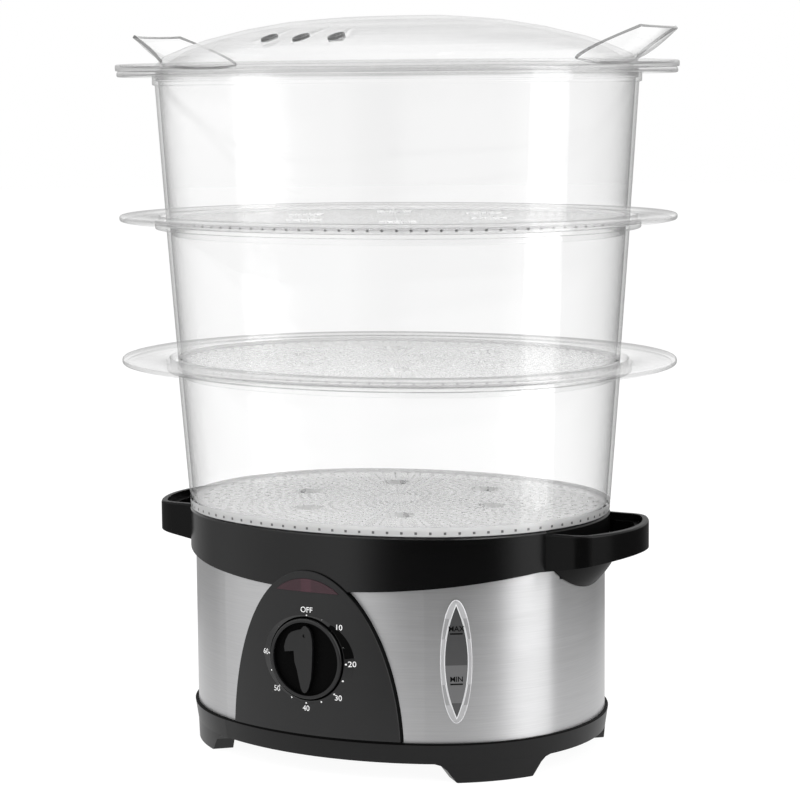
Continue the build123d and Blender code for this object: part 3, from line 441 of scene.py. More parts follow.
clearSettings = {"mirror": 0.032, "edgeMirror": 0.76, "mirrorPower": 5.0, "mirrorTone": 0.98, "tint": 0.992,
                 "edgeTint": 0.74, "edgePower": 7.0,
                 "grain": {"Scale": 900.0, "Depth": 0.000004, "Roughness": 0.03, "Spread": 0.03}}
rayPlan = {"rays": 48, "pitch": 6.3, "across": 0.25, "along": 0.30}


def flatDistance(tree, across, deep):
    squares = [mathNode(tree, "MULTIPLY", part, part) for part in (across, deep)]
    return mathNode(tree, "SQRT", mathNode(tree, "ADD", *squares))


def rayPattern(tree, vector):  # 1 on the short ribs that run out from the middle of a basket's floor
    calc = calculator(tree)
    x, y, _ = splitVector(tree, vector)
    turn = calc("MULTIPLY", calc("ARCTAN2", y, x), rayPlan["rays"] / (2 * math.pi))
    reach = calc("DIVIDE", flatDistance(tree, x, y), rayPlan["pitch"] * mm)
    odd = calc("MULTIPLY", calc("FLOOR", turn), 0.5)
    masks = []
    for value, width in ((turn, rayPlan["across"]), (calc("ADD", reach, odd), rayPlan["along"])):
        off = calc("ABSOLUTE", calc("SUBTRACT", calc("FRACT", value), 0.5))
        masks.append(calc("LESS_THAN", off, width))
    return calc("MULTIPLY", *masks)


# thin clear wall; frost is (share, whiteness), and rays is how much of the frost the ribs lose
def clearPlastic(name, tint=clearSettings["tint"], frost=None, rays=0.0):
    material, tree, shader, vector = blankMaterial(name)
    calc = calculator(tree)
    graze = addNode(tree, "LayerWeight", {"Blend": 0.5}).outputs["Facing"]
    mirrorShare = calc("MULTIPLY_ADD", calc("POWER", graze, clearSettings["mirrorPower"]),
                       clearSettings["edgeMirror"], clearSettings["mirror"])
    edge = calc("POWER", graze, clearSettings["edgePower"])
    tone = ramp(tree, edge, grey(tint), grey(clearSettings["edgeTint"]))
    body = addNode(tree, "BsdfTransparent", {"Color": tone}).outputs[0]
    placeGroup(tree, mouldedGrain, shader, {"Vector": vector, **clearSettings["grain"]})
    fill(tree, shader, {"Base Color": grey(clearSettings["mirrorTone"]), "Metallic": 1.0})
    if frost:
        share, whiteness = frost
        milky = addNode(tree, "BsdfDiffuse", {"Color": grey(whiteness)}).outputs[0]
        if rays:
            share = calc("MULTIPLY_ADD", rayPattern(tree, vector), -rays * share, share)
        body = mixShaders(tree, share, body, milky)
    fill(tree, tree.nodes["Material Output"],
         {"Surface": mixShaders(tree, mirrorShare, body, shader.outputs[0])})
    return material


def darkenWhere(material, mask, dark, light):  # multiplies the colour by a mask from 0, dark, to 1, light
    tree = material.node_tree
    colour = tree.nodes["Principled BSDF"].inputs["Base Color"]
    blend = tree.nodes.new("ShaderNodeMix")
    blend.data_type = "RGBA"
    blend.blend_type = "MULTIPLY"
    blend.inputs["Factor"].default_value = 1.0
    tree.links.new(colour.links[0].from_socket, blend.inputs["A"])
    tree.links.new(ramp(tree, mask, grey(dark), grey(light)), blend.inputs["B"])
    tree.links.new(blend.outputs["Result"], colour)


# near black painted as shade into gaps and recesses
paintedShadeBlack = {"Base Color": grey(0.0015), "Roughness": 0.6, "Specular IOR Level": 0.04}


def paintShadeWhere(material, mask):  # painted shade: mixes to near black over gaps and recesses that no light reaches; the mask is 1 there
    tree = material.node_tree
    gap = addNode(tree, "BsdfPrincipled", paintedShadeBlack)
    surface = tree.nodes["Material Output"].inputs["Surface"]
    tree.links.new(mixShaders(tree, mask, surface.links[0].from_socket, gap.outputs[0]), surface)


def objectParts(material):  # the X, Y and Z of a point in the material's own tree
    coords = next(node for node in material.node_tree.nodes if node.type == "TEX_COORD")
    return splitVector(material.node_tree, coords.outputs["Object"])


def beyond(material, axis, operation, limit, mirrored=False):  # 1 where one of those is past a limit
    tree = material.node_tree
    value = objectParts(material)[axis]
    if mirrored:
        value = mathNode(tree, "ABSOLUTE", value)
    return mathNode(tree, operation, value, limit * mm)


finishes = {
    "black_plastic": mouldedPlastic("satinBlackFrame", (0.004, 0.004, 0.0042), 0.34, 1800.0, specular=0.32),
    "gloss_black": mouldedPlastic("glossBlackCollar", (0.0012, 0.0012, 0.0013), 0.22, 900.0, 0.000004, 0.04),
    "dark_plastic": mouldedPlastic("darkTankPlastic", (0.05, 0.05, 0.053), 0.42),
    "rubber": mouldedPlastic("footRubber", (0.02, 0.02, 0.02), 0.75, 1200.0, 0.00006),
    "silicone": mouldedPlastic("siliconeSeal", (0.62, 0.62, 0.60), 0.5, 1500.0),
    "brushed_steel": brushedSteel("brushedSteelBand", (0.60, 0.60, 0.605), 0.31),
    "zinc_steel": brushedSteel("zincPlatedSteel", (0.60, 0.60, 0.62), 0.40),
    "cast_aluminium": mouldedPlastic("castAluminium", (0.62, 0.62, 0.63), 0.5, 700.0, 0.0001),
    "red_lens": mouldedPlastic("redLens", (0.030, 0.010, 0.015), 0.26, 700.0, 0.000006),
    "lamp_glass": mouldedPlastic("lampGlass", (0.60, 0.34, 0.28), 0.12, 500.0, 0.000004),
    "white_plastic": mouldedPlastic("switchPlastic", (0.72, 0.71, 0.68), 0.45),
    "wire_sleeve": mouldedPlastic("wovenSleeve", (0.55, 0.52, 0.42), 0.7, 3000.0, 0.00008),
    "clear_plastic": clearPlastic("clearWall"),
}
frostedPlate = clearPlastic("frostedPlate", frost=(0.52, 0.86), rays=0.65)
frostedBand = clearPlastic("frostedBand", frost=(0.62, 0.66))
# painted shade: dark grey clear for the vent walls, the blocks round each basket's foot and the wings' cut
# edges
paintedShadeClear = clearPlastic("paintedShadeClear", tint=0.42, frost=(0.35, 0.16))
# painted shade: a greyer clear on the flanges' outer edges, which show as grey lines
edgeShadeClear = clearPlastic("edgeShadeClear", tint=0.80, frost=(0.10, 0.45))
trayClear = clearPlastic("trayClear", frost=(0.60, 0.50))
satinPanel = mouldedPlastic("satinPanel", (0.005, 0.005, 0.0052), 0.36, 2600.0, vary=0.04)
knobPlastic = mouldedPlastic("knobPlastic", (0.004, 0.004, 0.0042), 0.34, 2000.0, 0.00001, 0.04, vary=0.04)
whiteInk = mouldedPlastic("whiteInk", (0.80, 0.80, 0.80), 0.5, 1500.0, 0.00001, 0.05, 0.03)
blackInk = mouldedPlastic("blackInk", (0.002, 0.002, 0.002), 0.6, 1500.0, 0.00001, specular=0.05)
basketPlastics = [finishes["clear_plastic"], frostedPlate, paintedShadeClear, edgeShadeClear, frostedBand]
lidPlastics = [finishes["clear_plastic"], paintedShadeClear, edgeShadeClear]

dial = {"z": 67.3, "dish": 23.9, "dots": 13, "dotRadius": 24.9, "dotSize": 0.50, "dotDepth": 0.12,
        "dotSides": 12, "labelRadius": 28.0, "textSize": 4.5, "step": 22.75, "face": 101.0,
        "crown": 0.3, "slope": 2.8 / 5.3, "lift": 0.03,
        "labels": {0: "OFF", 2: "10", 4: "20", 6: "30", 8: "40", 10: "50", 12: "60"}}
# limits of the painted shade on the control panel, the knob and the collar
panelFace = {"frontRadius": 101.0, "sideBehind": 0.9, "recess": -105.4, "knobFloor": -107.3, "low": 24.3,
             "ear": 117.0, "earShade": 0.72, "frontSlack": 0.08,
             "crescent": (24.3, 30.0, 36.0, 84.0)}  # radii and angles of the notch beside the dial that is painted black as shade
# painted glow: the middle of the pilot lens is painted brighter
pilot = {"halfGlow": 3.2, "glow": 1.5}
frameLine = 22.1  # height above which the frame's lip is painted black as shadow
window = {"angle": -56.8, "z": 69.1, "halfWidth": 9.0, "halfLength": 34.8, "slotWidth": 6.3,
          "slotLength": 31.4, "waterLine": 67.2, "low": 46.0, "tabs": (12.8, 24.3), "line": 0.5,
          "proud": 0.35, "edge": 0.4, "rings": 10, "steps": 72,
          "rimTone": 3.0, "tabTone": -0.9, "highlightTone": 2.4, "dryTone": 0.46, "wetTone": 0.50,
          "brightest": 6.0}


def paintShadeAndGlow():  # painted shade on the panel, knob, collar and frame lip, and painted glow in the pilot lens
    tree = satinPanel.node_tree
    calc = calculator(tree)
    x, y, z = objectParts(satinPanel)
    radius = flatDistance(tree, x, calc("SUBTRACT", y, ovalShape["sideCentre"]))
    up = calc("SUBTRACT", z, dial["z"] * mm)
    ring, turn = flatDistance(tree, x, up), calc("ARCTAN2", x, up)
    front = ovalLink + panelFace["frontRadius"] * mm
    inner, outer, start, end = panelFace["crescent"]
    mask = calc("LESS_THAN", z, panelFace["low"] * mm)
    for limits in (
            [("LESS_THAN", radius, front - panelFace["sideBehind"] * mm)],
            [("LESS_THAN", ring, dial["dish"] * mm), ("GREATER_THAN", y, panelFace["recess"] * mm)],
            [("GREATER_THAN", radius, front + panelFace["frontSlack"] * mm),
             ("GREATER_THAN", ring, inner * mm), ("LESS_THAN", ring, outer * mm),
             ("GREATER_THAN", turn, math.radians(start)), ("LESS_THAN", turn, math.radians(end))]):
        part = calc(*limits[0])
        for limit in limits[1:]:
            part = calc("MULTIPLY", part, calc(*limit))
        mask = calc("MAXIMUM", mask, part)
    # painted shade on the panel's bottom edge, its flanks, the dish round the knob and the notch beside the
    # dial
    paintShadeWhere(satinPanel, mask)
    # painted shade: the knob's recess is painted black
    paintShadeWhere(knobPlastic, beyond(knobPlastic, "Y", "GREATER_THAN", panelFace["knobFloor"]))
    collar, lip, lens = finishes["gloss_black"], finishes["black_plastic"], finishes["red_lens"]
    # painted shade: the collar's handle ends are darkened toward black over their reflections
    ear = beyond(collar, "X", "GREATER_THAN", panelFace["ear"], mirrored=True)
    paintShadeWhere(collar, mathNode(collar.node_tree, "MULTIPLY", ear, panelFace["earShade"]))
    # painted shadow along the frame's top lip
    paintShadeWhere(lip, beyond(lip, "Z", "GREATER_THAN", frameLine))
    # painted glow in the middle of the pilot lens
    darkenWhere(lens, beyond(lens, "X", "LESS_THAN", pilot["halfGlow"], mirrored=True), 1.0, pilot["glow"])


def windowPlace():  # middle of the oval's end, and the direction the water window faces
    return ovalArcs[0][0], heading(math.radians(window["angle"]))


def windowRadius():
    end = windowPlace()[0]
    return max((v.co - end).to_2d().length for v in nodes["level_window"].data.vertices)


# clear rim with painted highlight lines along its edges, and through the middle the dark tank above the water
# line and a paler part below
def makeWindowLook():
    material = mouldedPlastic("levelWindow", (0.115, 0.115, 0.117), 0.20, 900.0, 0.000004, 0.03, vary=0.03)
    tree = material.node_tree
    x, y, z = objectParts(material)
    end, out = windowPlace()
    centre = end + out * windowRadius()
    calc = calculator(tree)
    along = calc("SUBTRACT", calc("MULTIPLY", calc("SUBTRACT", y, centre.y), out.x),
                 calc("MULTIPLY", calc("SUBTRACT", x, centre.x), out.y))
    up = calc("SUBTRACT", z, window["z"] * mm)
    wide, tall = window["halfWidth"] * mm, window["halfLength"] * mm
    reach = flatDistance(tree, calc("DIVIDE", along, wide), calc("DIVIDE", up, tall))
    steep = flatDistance(tree, calc("DIVIDE", along, wide * wide), calc("DIVIDE", up, tall * tall))
    depth = calc("MULTIPLY", calc("SUBTRACT", 1.0, reach), calc("DIVIDE", reach, steep))
    arc = (window["slotLength"] ** 2 + window["slotWidth"] ** 2) / (2 * window["slotWidth"]) * mm
    across = calc("ADD", calc("ABSOLUTE", along), arc - window["slotWidth"] * mm)
    slot = calc("SUBTRACT", arc, flatDistance(tree, across, up))  # in from the slot's outline
    inside = calc("GREATER_THAN", slot, 0.0)
    line = window["line"] * mm
    high = calc("ABSOLUTE", up)
    side, far = [calc("LESS_THAN", high, limit * mm) for limit in window["tabs"]]
    middle = calc("MULTIPLY", far, calc("SUBTRACT", 1.0, side))
    # painted highlights: bright lines along the rim's outer edge and the slot's outline
    innerHighlight = calc("GREATER_THAN", slot, calc("MULTIPLY_ADD", middle, -line, -line))
    lines = calc("MAXIMUM", calc("LESS_THAN", depth, line), innerHighlight)
    plain = calc("MULTIPLY_ADD", middle, window["tabTone"], window["rimTone"])
    bright = calc("MULTIPLY_ADD", lines, window["highlightTone"], plain)
    wet = calc("MULTIPLY", calc("LESS_THAN", z, window["waterLine"] * mm),
               calc("GREATER_THAN", z, window["low"] * mm))
    shade = calc("MULTIPLY_ADD", wet, window["wetTone"], window["dryTone"])
    rim = calc("MULTIPLY", calc("SUBTRACT", 1.0, inside), bright)
    mask = calc("MAXIMUM", calc("MULTIPLY", shade, inside), rim)
    darkenWhere(material, calc("DIVIDE", mask, window["brightest"]), 0.0, window["brightest"])
    return material


def makeWindowPlate():  # oval clear cover over the water window, bent to the steel band
    bm = bmesh.new()
    end, out = windowPlace()
    radius = windowRadius()
    rings, steps = window["rings"], window["steps"]
    rows = []
    for ring in range(1, rings + 1):
        lift = -window["edge"] if ring == rings else window["proud"]
        rows.append([])
        for step in range(steps):
            turn = 2 * math.pi * step / steps
            across = window["halfWidth"] * ring / rings * math.cos(turn) * mm
            high = (window["z"] + window["halfLength"] * ring / rings * math.sin(turn)) * mm
            place = end + Matrix.Rotation(across / radius, 3, "Z") @ out * (radius + lift * mm)
            rows[-1].append(bm.verts.new((place.x, place.y, high)))
    bm.faces.new(rows[0])
    for inner, outer in zip(rows, rows[1:]):
        for step in range(steps):
            after = (step + 1) % steps
            bm.faces.new((inner[step], outer[step], outer[after], inner[after]))
    turnOut(bm)
    if bm.faces[0].normal.dot(out) < 0:
        bmesh.ops.reverse_faces(bm, faces=bm.faces)
    made = meshObject("windowPlate", bm, [nodes["level_window"].data.materials[0]], smooth=40)
    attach(made, "base")


def finishNodes():
    slots = {part["node"]: part["material_slot"] for part in frame["record"]["subparts"]}
    special = {"control_panel": satinPanel, "timer_knob": knobPlastic, "drip_tray": trayClear,
               "level_window": makeWindowLook()}
    paintShadeAndGlow()
    for name, part in nodes.items():
        part.data.materials.clear()
        part.data.materials.append(special.get(name) or finishes[slots[name]])


basket = {"pitch": 83.0, "firstFoot": 139.0, "wall": 2.0, "footRadius": (99.2, 104.8, 110.4),
          "topRadius": (105.3, 110.5, 115.7), "ringStep": (6.6, 6.6, 1.6), "opening": (95.5, 103.3, 108.5),
          "ledgeDrop": 6.0, "flangeRadius": 137.7, "flangeThickness": 2.2, "edgeHeight": 3.4,
          "edgeWidth": 3.0, "edgeLook": 0.4, "floorRise": 4.0, "floorThickness": 1.8, "skirtGap": 0.8,
          "skirtWall": 1.6, "skirtDrop": 6.0, "plateGap": 0.6, "bandRise": 1.2, "milkyAbove": 2.0,
          "milkyBelow": 3.0}
cups = {"count": 6, "circle": 61.0, "radius": 9.0, "steps": 24, "ribs": 12, "ribSize": (2.8, 0.8, 1.0),
        "ribOut": 0.3,  # profile: radius, drop and rounding
        "profile": ((9.0, 0, 0), (8.6, 1.4, 0), (6.4, 5.2, 1.0), (2.4, 5.2, 0), (2.4, 6.4, 0),
                    (7.1, 6.4, 1.2), (9.0, 1.8, 0))}
holes = {"rays": 48, "firstRing": 15.0, "farthest": 150.0, "step": 6.3, "length": 3.2, "width": 1.9,
         "petalRings": (14.5, 19.5, 25.0, 30.5), "petalPitch": 5.0, "corners": 6, "clear": 3.0,
         "rimClear": 3.5}
# blocks round each basket's foot, painted dark as shade
band = {"pitch": 8.0, "size": 1.4, "proud": 0.5, "inset": 0.3, "rise": 2.1}


def cupPlaces():
    turn = 2 * math.pi / cups["count"]
    return [(cups["circle"] * mm * math.cos(i * turn), cups["circle"] * mm * math.sin(i * turn))
            for i in range(cups["count"])]


def insideOval(x, y, radius):
    x, y = abs(x), abs(y)
    if math.atan2(y + ovalShape["sideCentre"], x) < joinAngle:
        return math.hypot(x - ovalShape["endCentre"], y) < radius
    return math.hypot(x, y + ovalShape["sideCentre"]) < radius + ovalLink


def clearOf(x, y, centres, distance):
    return all(math.hypot(x - cx, y - cy) > distance for cx, cy in centres)


def faceInside(face, radius):
    return insideOval(*face.calc_center_median()[:2], radius)


def holePlaces(limit):  # (x, y, direction) of each steam slot inside an oval of that end radius
    places = []
    petals = [(-cups["circle"] * mm, 0.0), (cups["circle"] * mm, 0.0)]
    petalReach = (holes["petalRings"][-1] + holes["clear"]) * mm
    for ray in range(holes["rays"]):
        angle = 2 * math.pi * ray / holes["rays"]
        radius = (holes["firstRing"] + (ray % 2) * holes["step"] / 2) * mm
        while radius < holes["farthest"] * mm:
            x, y = radius * math.cos(angle), radius * math.sin(angle)
            if clearOf(x, y, petals, petalReach):
                places.append((x, y, angle))
            radius += holes["step"] * mm
    for px, py in petals:
        for ring in holes["petalRings"]:
            count = int(2 * math.pi * ring / holes["petalPitch"])
            for i in range(count):
                angle = 2 * math.pi * i / count
                places.append((px + ring * mm * math.cos(angle), py + ring * mm * math.sin(angle), angle))
    clear = (cups["radius"] + holes["clear"]) * mm
    return [(x, y, angle) for x, y, angle in places
            if insideOval(x, y, limit) and clearOf(x, y, cupPlaces(), clear)]


def addMesh(bm, other, place=None):  # joins a finished small mesh to a larger one
    mesh = bpy.data.meshes.new("part")
    other.to_mesh(mesh)
    if place is not None:
        mesh.transform(place)
    bm.from_mesh(mesh)
    bpy.data.meshes.remove(mesh)


def addBlock(bm, place, size):
    bmesh.ops.create_cube(bm, size=1.0, matrix=place @ Matrix.Diagonal((*size, 1)))


def addRing(bm, segments, radius, place=Matrix()):  # its points and its edges
    points = bmesh.ops.create_circle(bm, segments=segments, radius=radius, matrix=place)["verts"]
    return points, list(dict.fromkeys(e for v in points for e in v.link_edges))


def extruded(bm, faces, height):  # keeps the faces, and moves a copy of them up
    geometry = bmesh.ops.extrude_face_region(bm, geom=faces, use_keep_orig=True)["geom"]
    verts = [part for part in geometry if isinstance(part, bmesh.types.BMVert)]
    bmesh.ops.translate(bm, verts=verts, vec=(0, 0, height))


def makePlate(radius, z):  # perforated plate inside the oval rim
    bm = bmesh.new()
    sweepOval(bm, [Vector((radius, z))])
    edges = list(bm.edges)
    slot = Matrix.Diagonal((holes["length"] * mm / 2, holes["width"] * mm / 2, 1, 1))
    for x, y, angle in holePlaces(radius - holes["rimClear"] * mm):
        place = moved(x, y, z) @ Matrix.Rotation(angle, 4, "Z") @ slot
        edges += addRing(bm, holes["corners"], 1.0, place)[1]
    for x, y in cupPlaces():
        edges += addRing(bm, cups["steps"], cups["radius"] * mm, moved(x, y, z))[1]
    bmesh.ops.triangle_fill(bm, use_beauty=False, edges=edges, normal=(0, 0, 1))
    outer = cups["radius"] * mm + weld
    seam = {v for v in bm.verts if not insideOval(v.co.x, v.co.y, radius - 10 * weld)
            or not clearOf(v.co.x, v.co.y, cupPlaces(), outer)}
    extruded(bm, list(bm.faces), -basket["floorThickness"] * mm)
    walls = [f for f in bm.faces if len(f.verts) == 4 and sum(v in seam for v in f.verts) == 2]
    bmesh.ops.delete(bm, geom=walls, context="FACES_ONLY")
    return bm


def makeCup(z):
    bm = bmesh.new()
    corners = [(radius * mm, z - drop * mm, rounding) for radius, drop, rounding in cups["profile"]]
    geometry = wire(bm, roundCorners(corners), lambda radius, height: Vector((radius, 0, height)))
    bmesh.ops.spin(bm, geom=geometry, cent=(0, 0, 0), axis=(0, 0, 1), angle=2 * math.pi,
                   steps=cups["steps"], use_merge=True)
    return bm


def makeRibs(z):  # short ribs round the rim of a cup
    bm = bmesh.new()
    for i in range(cups["ribs"]):
        turn = Matrix.Rotation(2 * math.pi * (i + 0.5) / cups["ribs"], 4, "Z")
        out = moved((cups["radius"] + cups["ribOut"]) * mm, 0, 0)
        addBlock(bm, moved(0, 0, z) @ turn @ out, Vector(cups["ribSize"]) * mm)
    return bm


def ovalSteps(radius, pitch):  # places round the oval, with the outward direction at each
    places = []
    for centre, middle, half, beyondEnd, _ in ovalArcs:
        count = max(1, round(2 * half * (radius + beyondEnd) / pitch))
        for i in range(count):
            angle = middle - half + 2 * half * (i + 0.5) / count
            places.append((centre + heading(angle) * (radius + beyondEnd), angle))
    return places


def makeBasket(tier):
    foot = (basket["firstFoot"] + tier * basket["pitch"]) * mm
    ledge = foot + basket["pitch"] * mm
    top = ledge + basket["ledgeDrop"] * mm
    wall, plate = basket["wall"] * mm, basket["flangeThickness"] * mm
    footR, topR = basket["footRadius"][tier] * mm, basket["topRadius"][tier] * mm
    ringR, rimR = topR + basket["ringStep"][tier] * mm, basket["flangeRadius"] * mm
    skirtR = (basket["opening"][tier] - basket["skirtGap"]) * mm
    skirtIn, skirtLow = skirtR - basket["skirtWall"] * mm, foot - basket["skirtDrop"] * mm
    floorTop = foot + basket["floorRise"] * mm
    floorLow = floorTop - basket["floorThickness"] * mm
    edgeIn, edgeLow = rimR - basket["edgeWidth"] * mm, top - basket["edgeHeight"] * mm
    plateR = skirtIn - basket["plateGap"] * mm
    bandTop = floorTop + basket["bandRise"] * mm
    bandR = footR + (topR - footR) * (bandTop - foot) / (ledge - plate - foot)
    corners = [
        (plateR, floorTop, 0), (footR - wall, floorTop, 0.5), (bandR - wall, bandTop, 0),
        (topR - wall, ledge, 0.7), (ringR - wall, ledge, 0.7), (ringR - wall, top, 0.9),
        (rimR, top, 1.4), (rimR, edgeLow, 1.2), (edgeIn, edgeLow, 0.7), (edgeIn, top - plate, 0.4),
        (ringR, top - plate, 0.9), (ringR, ledge - plate, 0.9), (topR, ledge - plate, 0.6),
        (bandR, bandTop, 0), (footR, foot, 0.6), (skirtR, foot, 0.3), (skirtR, skirtLow, 0.5),
        (skirtIn, skirtLow, 0.5), (skirtIn, floorLow, 0), (plateR, floorLow, 0)]
    bm = bmesh.new()
    sweepOval(bm, roundCorners(corners))
    plateBm, cup, ribs = makePlate(plateR, floorTop), makeCup(floorTop), makeRibs(floorTop)
    marks = bmesh.new()
    addMesh(bm, plateBm)
    for x, y in cupPlaces():
        addMesh(bm, cup, moved(x, y))
    closeShape(bm)
    for x, y in cupPlaces():
        addMesh(bm, ribs, moved(x, y))
    # painted shade: small dark blocks round the foot of the basket
    size = Vector((2 * band["proud"], band["size"], band["size"])) * mm
    for place, angle in ovalSteps(footR - band["inset"] * mm, band["pitch"] * mm):
        at = moved(place.x, place.y, foot + band["rise"] * mm)
        addBlock(marks, at @ Matrix.Rotation(angle, 4, "Z"), size)
    for face in marks.faces:
        face.material_index = basketPlastics.index(paintedShadeClear)
    addMesh(bm, marks)
    for small in (plateBm, cup, ribs, marks):
        small.free()
    milkyLow, milkyTop = foot - basket["milkyBelow"] * mm, floorTop + basket["milkyAbove"] * mm
    for face in bm.faces:
        if face.material_index == 0 and all(milkyLow < v.co.z < milkyTop for v in face.verts):
            milky = frostedPlate if faceInside(face, plateR) else frostedBand
            face.material_index = basketPlastics.index(milky)
        # painted shade on the flange's outer edge
        elif (min(v.co.z for v in face.verts) > edgeLow - weld / 10
              and not faceInside(face, rimR - basket["edgeLook"] * mm)):
            face.material_index = basketPlastics.index(edgeShadeClear)
    made = meshObject("basket%dClear" % (tier + 1), bm, basketPlastics, smooth=35)
    clearPieces.objects.link(made)
    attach(made, "basket_%d" % (tier + 1))
    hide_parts("basket_%d" % (tier + 1))


lid = {"base": 394.0, "flangeRadius": 138.5, "flangeTop": 2.2, "edgeRise": 1.6, "edgeIn": (3.4, 2.8),
       "thickness": 2.0, "edgeLook": 0.4,
       "dome": ((124.5, 2.2, 1.2), (116, 2.4, 2.0), (111, 8, 3.0), (98, 13.4, 8.0), (86, 17.6, 6.0),
                (62.5, 23.4, 8.0), (38, 27.6, 6.0), (14, 29.6, 3.0), (2.0, 30.4, 0)),
       "shoulder": 100.0, "underShift": (0.35, 0.9), "skirtRadius": 112.4, "skirtDrop": 5.0, "skirtTop": 2.0}
vent = {"places": ((-29.8, -88.7), (-7.7, -91.6), (13.6, -89.9)), "turn": -12.0, "length": 9.5,
        "width": 5.2, "wall": 0.7, "rise": 0.3, "drop": 1.3, "segments": 20, "cut": 40.0, "reach": 4.0}
wing = {"root": 134.0, "tip": 170.5, "halfRoot": 41.0, "halfMiddle": 30.0, "halfTip": 25.0, "bend": 0.67,
        "low": 396.2, "bowlRise": 18.8, "rimLift": 1.8, "rimRise": 17.5, "rimPower": 0.75,
        "sidePower": 2.5, "tipRound": 5.0, "thickness": 2.3, "edge": 0.7, "grid": (26, 30)}


def stadium(bm, length, width, x, y, z):  # closed loop of edges round a vent slot
    points, edges = addRing(bm, vent["segments"], width / 2)
    for v in points:
        v.co.y += math.copysign((length - width) / 2, v.co.y) if abs(v.co.y) > 1e-9 else 0
    place = moved(x, y, z) @ Matrix.Rotation(math.radians(vent["turn"]), 4, "Z")
    bmesh.ops.transform(bm, matrix=place, verts=points)
    return edges


def lidHeight(x, y):  # outer surface of the dome above a point, from the lid's own profile
    outer = [(r * mm, (lid["base"] + h) * mm) for r, h, _ in lid["dome"]]
    for (rHigh, zLow), (rLow, zHigh) in zip(outer, outer[1:]):
        if insideOval(x, y, rHigh) and not insideOval(x, y, rLow):
            low, high = rLow, rHigh
            for _ in range(30):
                middle = (low + high) / 2
                low, high = (low, middle) if insideOval(x, y, middle) else (middle, high)
            return zHigh + (zLow - zHigh) * (high - rLow) / (rHigh - rLow)
    return outer[-1][1]


def makeLid():
    base, flangeR, thick = lid["base"] * mm, lid["flangeRadius"] * mm, lid["thickness"] * mm
    flangeTop, skirtR = base + lid["flangeTop"] * mm, lid["skirtRadius"] * mm
    edgeTop, skirtLow = flangeTop + lid["edgeRise"] * mm, base - lid["skirtDrop"] * mm
    edgeLow, edgeHigh = [flangeR - width * mm for width in lid["edgeIn"]]
    inner, outer = lid["underShift"]
    dome = [(r * mm, base + h * mm, rounding) for r, h, rounding in reversed(lid["dome"])]
    under = [(r - thick * (outer if r > lid["shoulder"] * mm else inner), z - thick, rounding)
             for r, z, rounding in dome[:-2]]
    corners = dome + [
        (edgeLow, flangeTop, 0.8), (edgeHigh, edgeTop, 0.6), (flangeR, edgeTop, 1.0), (flangeR, base, 1.0),
        (skirtR + thick, base, 0.4), (skirtR + thick * outer, skirtLow, 0.6), (skirtR, skirtLow, 0.6),
        (skirtR, base + lid["skirtTop"] * mm, 0.6)] + list(reversed(under))[1:]
    bm = bmesh.new()
    sweepOval(bm, roundCorners(corners))
    bmesh.ops.holes_fill(bm, edges=[e for e in bm.edges if e.is_boundary], sides=0)
    closeShape(bm)
    made = meshObject("lidClear", bm, lidPlastics, smooth=35)
    cutter = bmesh.new()
    for x, y in vent["places"]:
        loop = stadium(cutter, vent["length"] * mm, vent["width"] * mm, x * mm, y * mm, base)
        extruded(cutter, bmesh.ops.contextual_create(cutter, geom=loop)["faces"], vent["cut"] * mm)
    turnOut(cutter)
    knife = meshObject("ventKnife", cutter)
    cut = made.modifiers.new("vents", "BOOLEAN")
    cut.object = knife
    cut.solver = "EXACT"
    bakeModifiers(made)
    bpy.data.objects.remove(knife)
    bm = bmesh.new()
    bm.from_mesh(made.data)
    for x, y in vent["places"]:
        addVentTube(bm, x * mm, y * mm)
    for face in bm.faces:
        # painted shade on the flange's outer edge
        if face.material_index == 0 and not faceInside(face, flangeR - lid["edgeLook"] * mm):
            face.material_index = lidPlastics.index(edgeShadeClear)
    for side in (-1, 1):
        addWing(bm, side)
    bm.to_mesh(made.data)
    bm.free()
    clearPieces.objects.link(made)
    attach(made, "lid")
    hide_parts("lid")


def addVentTube(bm, x, y):  # wall round a steam vent, standing a little above the dome, painted dark as shade
    reach, high = vent["reach"] * mm, lidHeight(x, y)
    slope = (lidHeight(x, y + reach) - lidHeight(x, y - reach)) / (2 * reach)
    before = set(bm.verts)
    rings = []
    for wall, lift in ((0, vent["rise"]), (vent["wall"], vent["rise"]),
                       (vent["wall"], -vent["drop"]), (0, -vent["drop"])):
        length, width = (vent["length"] + 2 * wall) * mm, (vent["width"] + 2 * wall) * mm
        rings.append(stadium(bm, length, width, x, y, high + lift * mm))
    for first, second in zip(rings, rings[1:] + rings[:1]):
        bmesh.ops.bridge_loops(bm, edges=first + second)
    new = [v for v in bm.verts if v not in before]
    for v in new:
        v.co.z += slope * (v.co.y - y)
    faces = list(dict.fromkeys(f for v in new for f in v.link_faces))
    bmesh.ops.recalc_face_normals(bm, faces=faces)
    for face in faces:
        face.smooth = True
        face.material_index = lidPlastics.index(paintedShadeClear)


